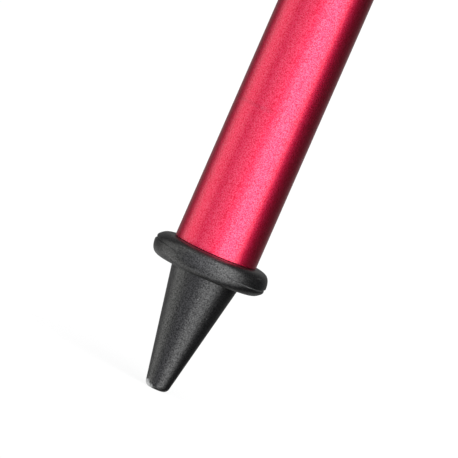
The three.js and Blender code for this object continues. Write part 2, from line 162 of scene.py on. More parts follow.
def ramp(tree, factor, *stops):
    """A colour ramp through (position, colour) stops."""
    node = add(tree, "ShaderNodeValToRGB", {"Fac": factor})
    elements = node.color_ramp.elements
    while len(elements) < len(stops): elements.new(0.5)
    for element, (position, colour) in zip(elements, stops):
        element.position = position
        element.color = colour
    return node


def object_place(tree):
    """The shaded point in the object's own coordinates."""
    return add(tree, "ShaderNodeTexCoord").outputs["Object"]


def new_material(name, **inputs):
    """A material with a Principled shader and its inputs, named in lower case."""
    material = bpy.data.materials.new(name)
    material.use_nodes = True
    tree = material.node_tree
    shader = tree.nodes["Principled BSDF"]
    names = {key.lower().replace(" ", "_"): key for key in shader.inputs.keys()}
    feed(tree, shader, {names[key]: value for key, value in inputs.items()})
    return material, tree, shader


def grain(tree, shader, pitch, height, strength=1.0, detail=3.0):
    """A noise of that pitch and height, in metres, as bump. Returns the noise."""
    fine = noise(tree, object_place(tree), pitch, detail)
    bump = add(tree, "ShaderNodeBump", {"Height": fine, "Distance": height, "Strength": strength})
    feed(tree, shader, {"Normal": bump})
    return fine


def mottle(tree, shader, fine, darker, paler):
    """Varies the base colour between two colours with the grain."""
    colours = ramp(tree, fine, (0.3, linear(darker)), (0.7, linear(paler)))
    feed(tree, shader, {"Base Color": colours})


# ---- Materials ----


def red_anodised_aluminium():
    """Bead-blasted, dyed and sealed tube: a satin metallic red with a fine sparkle.

    The blasting scatters the reflection widely, and the clear oxide over the dye adds a whiter
    sheen where the light is strongest."""
    dye = tuple(bpy.context.scene.ski_pole_colours.tube)
    material, tree, shader = new_material(
        "red anodised aluminium", metallic=1.0, roughness=0.42, coat_roughness=0.22, coat_ior=1.5
    )
    blast = grain(tree, shader, pitch=0.00019, height=0.00002, strength=0.5, detail=2.0)
    deeper = (dye[0] * 0.78, dye[1] * 0.4, dye[2] * 0.5, 1.0)
    paler = (min(1.0, dye[0] * 1.06), dye[1] + 0.014, dye[2] + 0.024, 1.0)
    dyed = ramp(tree, blast, (0.36, deeper), (0.5, dye), (0.64, paler))
    # A faint darker line painted round the lower tube.
    spot = add(tree, "ShaderNodeSeparateXYZ", {0: object_place(tree)})
    off = calc(tree, "SUBTRACT", spot.outputs["Z"], FAINT_LINE_HEIGHT)
    faint_line = spread(tree, calc(tree, "ABSOLUTE", off), 0.00045, 0.0002, 0.0, 0.16)
    sheen = spread(tree, blast, 0.36, 0.64, 0.3, 1.0)
    marked = tinted(tree, faint_line, dyed, linear("#7a0f2a"))
    feed(tree, shader, {"Base Color": marked, "Coat Weight": sheen})
    return material


def moulded_tip_rubber():
    """Hard carbon-black rubber from a spark-eroded mould: charcoal, satin, with a fine grain.

    A pale patch is painted on the bottom edge, and the rim carries light scuffs and a few specks of
    dust."""
    material, tree, shader = new_material("moulded tip rubber", roughness=0.36)
    fine = grain(tree, shader, pitch=0.00021, height=0.00004, strength=0.8)
    gloss = spread(tree, fine, 0.36, 0.64, 0.22, 0.78)
    rubber = tuple(bpy.context.scene.ski_pole_colours.rubber)
    deeper = (*[channel * 0.8 for channel in rubber[:3]], 1.0)
    plain = ramp(tree, fine, (0.3, deeper), (0.7, rubber))
    place = object_place(tree)
    # A pale patch painted on the end's rounded edge, towards -X and the front.
    pale_patch_at = {0: place, 1: (-0.0016, -0.0008, 0.0)}
    pale_patch_distance = add(tree, "ShaderNodeVectorMath", pale_patch_at, operation="DISTANCE").outputs["Value"]
    reach = calc(tree, "MULTIPLY_ADD", noise(tree, place, 0.0005, 4.0), 0.0016, pale_patch_distance)
    pale_patch = spread(tree, reach, 0.0021, 0.0017, 0.0, 0.9)
    # The paler flash left along the seam, to the right of the middle, and scuffs round the rim.
    spot = add(tree, "ShaderNodeSeparateXYZ", {0: place})
    seam = calc(tree, "MULTIPLY_ADD", spot.outputs["X"], 0.057, spot.outputs["Z"])
    from_seam = calc(tree, "ABSOLUTE", calc(tree, "SUBTRACT", seam, 0.02192))
    thin = spread(tree, from_seam, 0.0001, 0.00004, 0.0, 0.14)
    flash = calc(tree, "MULTIPLY", thin, spread(tree, spot.outputs["X"], 0.004, 0.007))
    flattened = add(tree, "ShaderNodeMapping", {"Vector": place, "Scale": (1.0, 1.0, 14.0)})
    scuff = spread(tree, noise(tree, flattened, 0.004, 3.0), 0.63, 0.72, 0.0, 0.08)
    on_rim = spread(tree, spot.outputs["Z"], 0.02, 0.021)
    scuffed = calc(tree, "MULTIPLY_ADD", scuff, on_rim, flash)
    # Specks of dust, about a tenth of a millimetre across and a few millimetres apart.
    specks = {"Vector": place, "Scale": 1 / 0.0017, "Randomness": 1.0}
    speck = add(tree, "ShaderNodeTexVoronoi", specks)
    dusty = spread(tree, speck, 0.06, 0.03, 0.0, 0.35)
    surface = plain
    for share, tone in ((pale_patch, "#a3a4a4"), (scuffed, "#a3a4a4"), (dusty, "#9a9b9c")):
        surface = tinted(tree, share, surface, linear(tone))
    feed(tree, shader, {"Base Color": surface, "Specular IOR Level": gloss})
    return material


def glass_filled_nylon():
    """Black nylon with short glass fibres, from a textured mould: dark satin, slightly cloudy."""
    material, tree, shader = new_material("glass-filled nylon", roughness=0.46)
    fine = grain(tree, shader, pitch=0.0004, height=0.00004, strength=0.4)
    mottle(tree, shader, fine, "#1c1d1f", "#2a2b2e")
    return material


def soft_grip_rubber():
    """Soft thermoplastic rubber, moulded: very matt, a shade greyer where hands polish it."""
    material, tree, shader = new_material(
        "soft grip rubber", roughness=0.74, sheen_weight=0.25, sheen_roughness=0.5
    )
    fine = grain(tree, shader, pitch=0.0005, height=0.00006, strength=0.5)
    mottle(tree, shader, fine, "#1b1c1e", "#2b2c2f")
    return material


def red_acetal():
    """Dyed acetal, moulded and as released: smooth, waxy and a little translucent at edges."""
    material, tree, shader = new_material(
        "red acetal",
        roughness=0.34,
        subsurface_weight=0.06,
        subsurface_radius=(0.002, 0.0006, 0.0005),
        coat_weight=0.2,
    )
    fine = grain(tree, shader, pitch=0.0009, height=0.00002, strength=0.4)
    mottle(tree, shader, fine, "#b31c33", "#bd2139")
    return material


def natural_acetal():
    """Undyed acetal: a warm milky white with a soft gloss."""
    material, tree, shader = new_material(
        "natural acetal",
        roughness=0.4,
        subsurface_weight=0.1,
        subsurface_radius=(0.002, 0.002, 0.0016),
    )
    fine = grain(tree, shader, pitch=0.0008, height=0.00002, strength=0.3)
    mottle(tree, shader, fine, "#dcd8cd", "#e8e5dc")
    return material


def zinc_plated_steel():
    """Turned steel with a clear zinc finish: bright, faintly bluish, with a fine tooth."""
    material, tree, shader = new_material("zinc-plated steel", metallic=1.0, roughness=0.27)
    fine = grain(tree, shader, pitch=0.0002, height=0.00002, strength=0.4)
    mottle(tree, shader, fine, "#a9adb3", "#c9ccd0")
    return material


def woven_polyester():
    """Flat webbing woven from black polyester: ribs run across it, and the edges are bound.

    A rib is 1.1 mm long. Each half of the width is woven the opposite way, which gives the band
    its faint herringbone, and two red marker yarns run along it."""
    material, tree, shader = new_material(
        "woven polyester", roughness=0.82, sheen_weight=0.35, sheen_roughness=0.4
    )
    along, across = (
        add(tree, "ShaderNodeAttribute", attribute_name=name).outputs["Fac"]
        for name in ("along", "across")
    )
    rib, yarn = 0.0011, 0.0014
    off_middle = calc(tree, "ABSOLUTE", across)
    slanted = calc(tree, "MULTIPLY_ADD", off_middle, 0.55, along)
    wave = calc(tree, "SINE", calc(tree, "MULTIPLY", slanted, 2 * math.pi / rib))
    yarns = calc(tree, "COSINE", calc(tree, "MULTIPLY", across, 2 * math.pi / yarn))
    height = calc(tree, "MULTIPLY_ADD", yarns, 0.5, wave)
    weave = {"Height": height, "Distance": 0.00012, "Strength": 0.7}
    # Painted shade: the colour follows the weave's height, darker in its hollows and paler on its
    # ribs.
    shaded_weave = ramp(tree, height, (0.0, linear("#111214")), (1.0, linear("#2e3034")))
    # Marker yarns, 1.2 mm wide, 6 mm either side of the middle.
    beside = calc(tree, "ABSOLUTE", calc(tree, "SUBTRACT", off_middle, 0.006))
    colour = tinted(tree, spread(tree, beside, 0.0007, 0.0005), shaded_weave, linear("#a81f34"))
    feed(tree, shader, {"Base Color": colour, "Normal": add(tree, "ShaderNodeBump", weave)})
    return material


def sewing_thread():
    """Bonded polyester thread: pale grey, twisted, slightly glossy."""
    material, tree, shader = new_material(
        "sewing thread", base_color=linear("#8d9094"), roughness=0.55
    )
    grain(tree, shader, pitch=0.0003, height=0.00005, strength=0.6)
    return material


def printing_ink():
    """White pad-printing ink on the anodised tube: thin, satin and slightly uneven."""
    material, tree, shader = new_material("pad-printing ink", roughness=0.5)
    fine = grain(tree, shader, pitch=0.0004, height=0.00001, strength=0.3)
    mottle(tree, shader, fine, "#dededc", "#f2f2f0")
    return material


_made = {}


def material(maker):
    """The one material that a maker gives, made on first use."""
    if maker.__name__ not in _made:
        _made[maker.__name__] = maker()
    return _made[maker.__name__]


# ---- Shapes ----


def arc(cx, cz, radius, start, end, steps):
    """Points on an arc, angles in degrees, both ends included."""
    angles = [math.radians(start + (end - start) * i / steps) for i in range(steps + 1)]
    return [(cx + radius * math.cos(a), cz + radius * math.sin(a)) for a in angles]


def curve_through(knots, steps):
    """Points on the smooth curve through those knots, ends included."""
    points = []
    for i in range(len(knots) - 1):
        a, b = knots[max(0, i - 1)], knots[i]
        c, d = knots[i + 1], knots[min(len(knots) - 1, i + 2)]
        for k in range(steps):
            t = k / steps
            points.append(
                tuple(
                    0.5 * (
                        2 * q + (r - p) * t + (2 * p - 5 * q + 4 * r - s) * t**2 + (
                            3 * q - p - 3 * r + s
                        ) * t**3
                    )
                    for p, q, r, s in zip(a, b, c, d)
                )
            )
    return points + [knots[-1]]


def smooth_step(low, high, value):
    """0 below low, 1 above high, smooth between."""
    t = min(1.0, max(0.0, (value - low) / (high - low)))
    return t * t * (3 - 2 * t)


def blend_round(profile, radius, steps=3):
    """The closed profile with each corner taken off by an arc-like curve of about that radius."""
    rounded = []
    count = len(profile)
    for i, corner in enumerate(profile):
        here = Vector(corner)
        before = Vector(profile[i - 1]) - here
        after = Vector(profile[(i + 1) % count]) - here
        straight = before.length < 1e-9 or after.length < 1e-9
        if straight or abs(before.normalized().dot(after.normalized()) + 1) < 0.02:
            rounded.append(corner)
            continue
        cut = min(radius, before.length * 0.45, after.length * 0.45)
        start = here + before.normalized() * cut
        end = here + after.normalized() * cut
        for k in range(steps + 1):
            t = k / steps
            point = start * (1 - t) ** 2 + here * 2 * t * (1 - t) + end * t * t
            rounded.append((point.x, point.y))
    return rounded


def make(name, vertices, faces):
    """An object of that mesh, in the scene, with its faces pointing outwards."""
    mesh = bpy.data.meshes.new(name)
    mesh.from_pydata([tuple(v) for v in vertices], [], faces)
    shape = bmesh.new()
    shape.from_mesh(mesh)
    bmesh.ops.remove_doubles(shape, verts=shape.verts, dist=1e-7)
    bmesh.ops.recalc_face_normals(shape, faces=shape.faces)
    shape.to_mesh(mesh)
    shape.free()
    made = bpy.data.objects.new(name, mesh)
    bpy.context.collection.objects.link(made)
    return made


def skin(rings, close_ends=False, around_again=False):
    """Quads between equal rings. The ends are filled, or the last ring meets the first."""
    size = len(rings[0])
    vertices = [point for ring in rings for point in ring]
    spans = len(rings) if around_again else len(rings) - 1
    faces = []
    for row in range(spans):
        upper = (row + 1) % len(rings)
        for i in range(size):
            j = (i + 1) % size
            faces.append((row * size + i, row * size + j, upper * size + j, upper * size + i))
    if close_ends:
        faces.append(tuple(range(size))[::-1])
        faces.append(tuple(range(len(vertices) - size, len(vertices))))
    return vertices, faces


def turned(name, profile, soft=0.0, around=AROUND, shift=None):
    """A solid turned from a closed (radius, z) profile, with its corners softened by a radius.

    shift(x, y, z) may move each point."""
    if soft:
        profile = blend_round(profile, soft)
    angles = [2 * math.pi * i / around for i in range(around)]
    move = shift or (lambda x, y, z: (x, y, z))
    rings = [[move(r * math.cos(a), r * math.sin(a), z) for a in angles] for r, z in profile]
    return make(name, *skin(rings, around_again=True))


def laid_across(made, x, y, z):
    """Lays a piece turned about Z along +Y instead, with its start at that point."""
    turn = Matrix.Translation((x, y, z)) @ Matrix.Rotation(-math.pi / 2, 4, "X")
    made.data.transform(turn)
    return made


def prism(name, outline, low, high):
    """A solid with that XY outline, from low to high along Z."""
    rings = [[(x, y, z) for x, y in outline] for z in (low, high)]
    return make(name, *skin(rings, close_ends=True))


def prism_across(name, outline, half_width):
    """A solid with that XZ outline, to both sides of Y = 0."""
    rings = [[(x, y, z) for x, z in outline] for y in (-half_width, half_width)]
    return make(name, *skin(rings, close_ends=True))


def box(name, low, high):
    """A block between two corners."""
    outline = [(low[0], low[1]), (high[0], low[1]), (high[0], high[1]), (low[0], high[1])]
    return prism(name, outline, low[2], high[2])


def rod(name, radius, length, around=48):
    """A plain round bar on Z, for cutting."""
    outline = arc(0, 0, radius, 0, 360 - 360 / around, around - 1)
    return prism(name, outline, 0, length)


def settle(made):
    """Replaces the mesh by what its modifiers give, and removes them."""
    graph = bpy.context.evaluated_depsgraph_get()
    final = bpy.data.meshes.new_from_object(made.evaluated_get(graph))
    made.modifiers.clear()
    old = made.data
    made.data = final
    final.name = made.name
    bpy.data.meshes.remove(old)
    return made


def worked(made, joins=(), cuts=(), within=(), edge=0.0, segments=2, corner=40):
    """Joins, cuts or keeps within other solids, rounds the edges and uses the others up."""
    others = [("UNION", o) for o in joins] + [("DIFFERENCE", o) for o in cuts]
    others += [("INTERSECT", o) for o in within]
    for operation, other in others:
        boolean = made.modifiers.new(operation, "BOOLEAN")
        boolean.operation = operation
        boolean.object = other
        boolean.solver = "EXACT"
    if edge:
        bevel = made.modifiers.new("Edge", "BEVEL")
        bevel.width = edge
        bevel.segments = segments
        bevel.limit_method = "ANGLE"
        bevel.angle_limit = math.radians(corner)
    settle(made)
    for _, other in others:
        bpy.data.objects.remove(other)
    return made


def grown(tree, values, source=None):
    """The mesh that a geometry tree makes from those named inputs, as a plain mesh."""
    carrier = bpy.data.objects.new(tree.name, source or bpy.data.meshes.new(tree.name))
    bpy.context.collection.objects.link(carrier)
    modifier = carrier.modifiers.new(tree.name, "NODES")
    modifier.node_group = tree
    for item in tree.interface.items_tree:
        if item.item_type == "SOCKET" and item.in_out == "INPUT" and item.name in values:
            modifier[item.identifier] = values[item.name]
    carrier.update_tag()
    graph = bpy.context.evaluated_depsgraph_get()
    mesh = bpy.data.meshes.new_from_object(carrier.evaluated_get(graph))
    modifier.node_group = None
    bpy.data.objects.remove(carrier)
    return mesh


def geometry_tree(name, numbers, finishes, counts=()):
    """A geometry tree with those named inputs: numbers, materials and whole counts."""
    tree = bpy.data.node_groups.new(name, "GeometryNodeTree")
    kinds = {"Geometry": ["Geometry"], "Float": numbers, "Int": counts, "Material": finishes}
    for kind, labels in kinds.items():
        for label in labels:
            tree.interface.new_socket(label, in_out="INPUT", socket_type="NodeSocket" + kind)
    tree.interface.new_socket("Geometry", in_out="OUTPUT", socket_type="NodeSocketGeometry")
    return tree, add(tree, "NodeGroupInput").outputs


def close_tree(tree, geometry, finish):
    """Ends a geometry tree: realized, in its material."""
    real = add(tree, "GeometryNodeRealizeInstances", {"Geometry": geometry})
    painted = add(tree, "GeometryNodeSetMaterial", {"Geometry": real, "Material": finish})
    add(tree, "NodeGroupOutput", {0: painted})


def upward(tree, z):
    """A vector along Z."""
    return vector(tree, 0.0, 0.0, z)


def on_circle(tree, angle, radius):
    """X and Y at that angle and radius from the Z axis."""
    return [calc(tree, "MULTIPLY", calc(tree, wave, angle), radius) for wave in ("COSINE", "SINE")]


def position(tree):
    """X, Y and Z of each point, as the outputs of one node."""
    return add(tree, "ShaderNodeSeparateXYZ", {0: add(tree, "GeometryNodeInputPosition")}).outputs


def put(tree, geometry, place):
    """Sets the position of each point."""
    return add(tree, "GeometryNodeSetPosition", {"Geometry": geometry, "Position": place})


def transformed(tree, geometry, **ways):
    """Geometry moved by a Translation, turned by a Rotation or sized by a Scale."""
    return add(tree, "GeometryNodeTransform", {"Geometry": geometry, **ways})


def repeated(tree, points, piece, turn=(0.0, 0.0, 0.0)):
    """That piece on each of the points, turned as given."""
    inputs = {"Points": points, "Instance": piece, "Rotation": turn}
    return add(tree, "GeometryNodeInstanceOnPoints", inputs)


def together(tree, *parts):
    """Those parts as one geometry."""
    return add(tree, "GeometryNodeJoinGeometry", {0: list(parts)})


def block(tree, size, x, y, z):
    """A block of that size, with x, y and z vertices along its edges."""
    counts = {"Vertices X": x, "Vertices Y": y, "Vertices Z": z}
    return add(tree, "GeometryNodeMeshCube", {"Size": size, **counts})


def ring_of(tree, radius, points):
    """A round curve."""
    settings = {"Resolution": points, "Radius": radius}
    return add(tree, "GeometryNodeCurvePrimitiveCircle", settings)


def swept(tree, path, section, caps=False):
    """A section swept along a path."""
    inputs = {"Curve": path, "Profile Curve": section, "Fill Caps": caps}
    return add(tree, "GeometryNodeCurveToMesh", inputs)


def smoothed(tree, mesh, level):
    """A subdivided mesh."""
    return add(tree, "GeometryNodeSubdivisionSurface", {"Mesh": mesh, "Level": level})


def faced(tree, direction, **settings):
    """A rotation that points an axis along a direction."""
    return add(tree, "FunctionNodeAlignRotationToVector", {"Vector": direction}, **settings)


def joined(made, *meshes):
    """Adds those meshes, with their materials, to a piece."""
    whole = bmesh.new()
    whole.from_mesh(made.data)
    for mesh in meshes:
        before = len(whole.faces)
        first = len(made.data.materials)
        whole.from_mesh(mesh)
        whole.faces.ensure_lookup_table()
        for face in whole.faces[before:]:
            face.material_index += first
        for finish in mesh.materials:
            made.data.materials.append(finish)
    whole.to_mesh(made.data)
    whole.free()
    return made


def placed(made, body, slot, *nodes, sharp=SHARP):
    """Shades a piece, and ties it to its body and the CAD nodes that it stands for. The slot is not
    used.
    """
    for polygon in made.data.polygons:
        polygon.use_smooth = True
    made.data.set_sharp_from_angle(angle=sharp)
    flat = made.modifiers.new("Flat faces stay flat", "WEIGHTED_NORMAL")
    flat.keep_sharp = True
    settle(made)
    if nodes:
        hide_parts(*nodes)
    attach(made, body)
    return made


def painted(made, maker):
    """Gives a whole piece one material."""
    made.data.materials.clear()
    made.data.materials.append(material(maker))
    return made


# ---- Sizes and colours ----


def length(name, description, default):
    """A length property, in metres."""
    return FloatProperty(
        name=name, description=description, default=default, min=0.0, precision=5, unit="LENGTH"
    )


def colour(name, description, default):
    """A colour property, from an sRGB hex value."""
    return FloatVectorProperty(
        name=name,
        description=description,
        default=linear(default),
        size=4,
        subtype="COLOR",
        min=0.0,
        max=1.0,
    )


class SkiPoleColours(bpy.types.PropertyGroup):
    """Colours that a user would change."""

    tube: colour("Tube", "Dyed oxide on both tubes", "#c71442")
    rubber: colour("Tip rubber", "Moulded tip and flange", "#0b0b0c")


class SkiPoleTip(bpy.types.PropertyGroup):
    """Sizes of the moulded tip."""

    cone_length: length("Cone length", "From the end to the flange", 0.020)
    cone_top: length("Cone top radius", "Where the cone meets the flange", 0.00575)
    end_radius: length("End radius", "Flat part of the end", 0.00105)
    end_round: length("End rounding", "Round from the end to the cone", 0.001)
    flange_radius: length("Flange radius", "Out to the rim", TIP_HIGH.x)
    flange_thickness: length("Flange thickness", "Along the pole", 0.004)
    flange_round: length("Flange rounding", "Of the rim's two edges", 0.0017)
    seam_depth: length("Seam depth", "Groove where the mould halves meet", 0.00026)
    mismatch: length("Mismatch", "Sideways step between the mould halves", 0.00014)
    seam_tilt: FloatProperty(
        name="Seam tilt", description="Rise of the seam per length across", default=0.057
    )
    spigot_radius: length("Spigot radius", "Plug inside the tube", 0.0057)
    spigot_core: length("Spigot core radius", "Hollow inside the plug", 0.0034)


class SkiPoleTubes(bpy.types.PropertyGroup):
    """Sizes of the two tubes."""

    lower_wall: length("Lower wall", "Wall of the lower tube", 0.001)
    upper_wall: length("Upper wall", "Wall of the upper tube", 0.00075)
    mark_step: length("Mark spacing", "Between the marks of the length scale", 0.01)


class SkiPoleBasket(bpy.types.PropertyGroup):
    """Sizes of the snow basket."""

    arms: IntProperty(name="Arms", description="Arms round the hub", default=6, min=3, max=12)
    hub_radius: length("Hub radius", "Outside of the hub ring", 0.0125)
    wall: length("Wall", "Thickness of the dish", 0.0018)
    bead: length("Bead radius", "Rounded rim", 0.0015)
    drop: length("Drop", "How far the dish falls from hub to rim", 0.005)


class SkiPoleClamp(bpy.types.PropertyGroup):
    """Sizes of the length clamp."""

    slit: length("Slit", "Gap between the collar's ears", 0.0016)
    ear: length("Ear thickness", "Each ear of the collar", 0.0045)
    cam_radius: length("Cam radius", "Eccentric hub of the lever", 0.0042)
    eccentricity: length("Eccentricity", "Cam centre to pivot", 0.0004)
    pivot_radius: length("Pivot radius", "Barrel that the lever turns on", 0.0026)
    screw_radius: length("Screw radius", "Over the thread", 0.0018)
    thread_pitch: length("Thread pitch", "Of the clamp screw", 0.0007)
    knurls: IntProperty(name="Knurls", description="Ridges round the nut", default=26, min=8)


class SkiPoleGrip(bpy.types.PropertyGroup):
    """Sizes of the grip."""

    collar_top: length("Collar top", "Height of the hard ring", 0.010)
    rubber_top: length("Rubber top", "Where the rubber meets the head", 0.104)
    stud: length("Stud radius", "Raised dots on the palm side", 0.00075)
    stud_step: length("Stud spacing", "Between rows of dots", 0.0036)
    core_radius: length("Core radius", "Rigid sleeve under the rubber", 0.0098)


class SkiPoleStrap(bpy.types.PropertyGroup):
    """Sizes of the wrist strap."""

    width: length("Width", "Of the webbing", 0.020)
    thickness: length("Thickness", "Of the webbing", 0.0014)
    stitch: length("Stitch", "Length of one stitch", 0.0022)


GROUPS = {
    "ski_pole_colours": SkiPoleColours,
    "ski_pole_tip": SkiPoleTip,
    "ski_pole_tubes": SkiPoleTubes,
    "ski_pole_basket": SkiPoleBasket,
    "ski_pole_clamp": SkiPoleClamp,
    "ski_pole_grip": SkiPoleGrip,
    "ski_pole_strap": SkiPoleStrap,
}


# ---- Tip and tubes ----


class SKIPOLE_OT_tip(bpy.types.Operator):
    """Make the moulded cone with its flange and spigot, and the wear pin in its middle"""

    bl_idname = "ski_pole.tip"
    bl_label = "Tip"

    def execute(self, context):
        tip = context.scene.ski_pole_tip
        rim, curve = tip.flange_radius, tip.flange_round
        low = tip.cone_length
        high = low + tip.flange_thickness
        seam = (low + high) / 2
        half_groove = 0.00022
        slope = math.degrees(math.atan((tip.cone_top - 0.002) / tip.cone_length))
        bore = 0.00095
        top = TIP_HIGH.z
        profile = [(bore, 0.0)]
        profile += arc(tip.end_radius, tip.end_round, tip.end_round, -90, -slope, 12)
        profile += [(tip.cone_top, low - 0.00015), (tip.cone_top + 0.0001, low)]
        profile += arc(rim - curve, low + curve, curve, -90, 0, 14)
        profile += [
            (rim, seam - half_groove), (rim - tip.seam_depth * 0.45, seam - half_groove * 0.5),
            (rim - tip.seam_depth, seam - half_groove * 0.1),
            (rim - tip.seam_depth, seam + half_groove * 0.1),
            (rim - tip.seam_depth * 0.45, seam + half_groove * 0.5), (rim, seam + half_groove),
        ]
        profile += arc(rim - curve, high - curve, curve, 0, 90, 14)
        profile += [
            (tip.spigot_radius, high), (tip.spigot_radius, top - 0.0012),
            (tip.spigot_radius - 0.0009, top), (tip.spigot_core, top),
            (tip.spigot_core, high - 0.003), (bore, high - 0.006),
        ]

        def as_moulded(x, y, z):
            """The two mould halves, a little out of line, and their slightly tilted seam."""
            radius = math.hypot(x, y)
            if radius < rim - curve - 1e-6 or z < low - 1e-6:
                return x, y, z
            side = x / radius
            groove = max(0.0, rim - radius) if abs(z - seam) < half_groove else 0.0
            filled = groove * (1 - smooth_step(0.9, 1.0, abs(side)) * 0.8) * 0.97
            flash = 0.00007 * smooth_step(0.75, 0.98, side) * (abs(z - seam + 0.00008) < 0.00004)
            swell = (radius + filled + flash) / radius
            half = 0.5 if z > seam else -0.5
            near = 1 - smooth_step(0.0, 0.0017, abs(z - seam))
            return x * swell + tip.mismatch * half, y * swell, z - tip.seam_tilt * x * near

        cone = turned("tip_moulding", profile, around=192, shift=as_moulded)
        placed(painted(cone, moulded_tip_rubber), "lower_section", "tip_rubber", "tip_cone")

        pin_low, pin_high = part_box("tip_pin")
        radius, tall = pin_high.x, pin_high.z
        pin = turned(
            "tip_wear_pin",
            [
                (0, 0), (radius, 0), (radius, tall - 0.005), (radius - 0.00018, tall - 0.0046),
                (radius - 0.00018, tall - 0.0034), (radius, tall - 0.003), (radius, tall),
                (0, tall),
            ],
            0.00015,
            around=48,
        )
        placed(painted(pin, zinc_plated_steel), "lower_section", "steel", "tip_pin")
        return {"FINISHED"}


def tube_profile(outer, inner, low, high):
    """A tube's closed profile, its ends broken by a small round."""
    edge = 0.00012
    profile = [(inner, low), (outer - edge, low), (outer - edge * 0.3, low + edge * 0.3)]
    profile += [(outer, low + edge), (outer, high - edge)]
    profile.append((outer - edge * 0.3, high - edge * 0.3))
    return profile + [(outer - edge, high), (inner, high)]


def scale_tree():
    """Marks of a length scale, wrapped round a tube: short ones, and every fifth one long."""
    tree, given = geometry_tree("length scale", ["Radius", "Start", "Step"], ["Ink"], ["Count"])
    marks = []
    for every, span, width in ((1, 0.005, 0.0004), (5, 0.0095, 0.0007)):
        count = calc(tree, "DIVIDE", given["Count"], float(every))
        step = calc(tree, "MULTIPLY", given["Step"], float(every))
        line = {
            "Count": calc(tree, "ADD", count, 1.0), "Start Location": upward(tree, given["Start"])
        }
        points = add(tree, "GeometryNodeMeshLine", {**line, "Offset": upward(tree, step)})
        marks.append(repeated(tree, points, block(tree, (span, 0.00005, width), 33, 2, 2)))
    real = add(tree, "GeometryNodeRealizeInstances", {"Geometry": together(tree, *marks)})
    here = position(tree)
    angle = calc(tree, "DIVIDE", here["X"], given["Radius"])
    out = calc(tree, "ADD", here["Y"], given["Radius"])
    ahead, side = on_circle(tree, angle, out)
    wrapped = vector(tree, side, calc(tree, "MULTIPLY", ahead, -1.0), here["Z"])
    close_tree(tree, put(tree, real, wrapped), given["Ink"])
    return tree


class SKIPOLE_OT_tubes(bpy.types.Operator):
    """Make the two anodised tubes, the length scale on the lower one, and its guide bush"""

    bl_idname = "ski_pole.tubes"
    bl_label = "Tubes"

    def execute(self, context):
        tubes = context.scene.ski_pole_tubes
        tip = context.scene.ski_pole_tip
        flange_top = tip.cone_length + tip.flange_thickness
        outer = LOWER_HIGH.x
        profile = tube_profile(outer, outer - tubes.lower_wall, flange_top + 0.00003, LOWER_HIGH.z)
        lower = turned("lower_shaft", profile, around=192)
        placed(
            painted(lower, red_anodised_aluminium), "lower_section", "red_anodised", "lower_tube"
        )

        outer = UPPER_HIGH.x
        profile = tube_profile(outer, outer - tubes.upper_wall, UPPER_LOW.z, UPPER_HIGH.z)
        upper = turned("upper_shaft", profile, around=192)
        placed(
            painted(upper, red_anodised_aluminium), "upper_section", "red_anodised", "upper_tube"
        )

        first = COLLAR_LOW.z + 0.05
        values = {
            "Radius": LOWER_HIGH.x,
            "Start": first,
            "Step": tubes.mark_step,
            "Count": 25,
            "Ink": material(printing_ink),
        }
        marks = bpy.data.objects.new("length_marks", grown(scale_tree(), values))
        context.collection.objects.link(marks)
        placed(marks, "lower_section", "red_anodised")

        bush_low, bush_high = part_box("guide_bush")
        stem, guide, bore = 0.0057, bush_high.x, 0.0036
        shoulder = LOWER_HIGH.z + 0.0003
        bush = turned(
            "guide_plug",
            [
                (bore, bush_low.z), (stem - 0.0006, bush_low.z), (stem, bush_low.z + 0.001),
                (stem, shoulder), (guide, shoulder), (guide, bush_high.z - 0.0015),
                (guide - 0.001, bush_high.z), (bore, bush_high.z),
            ],
            0.0003,
            around=96,
        )
        placed(painted(bush, natural_acetal), "lower_section", "acetal", "guide_bush")
        return {"FINISHED"}


# ---- Snow basket ----


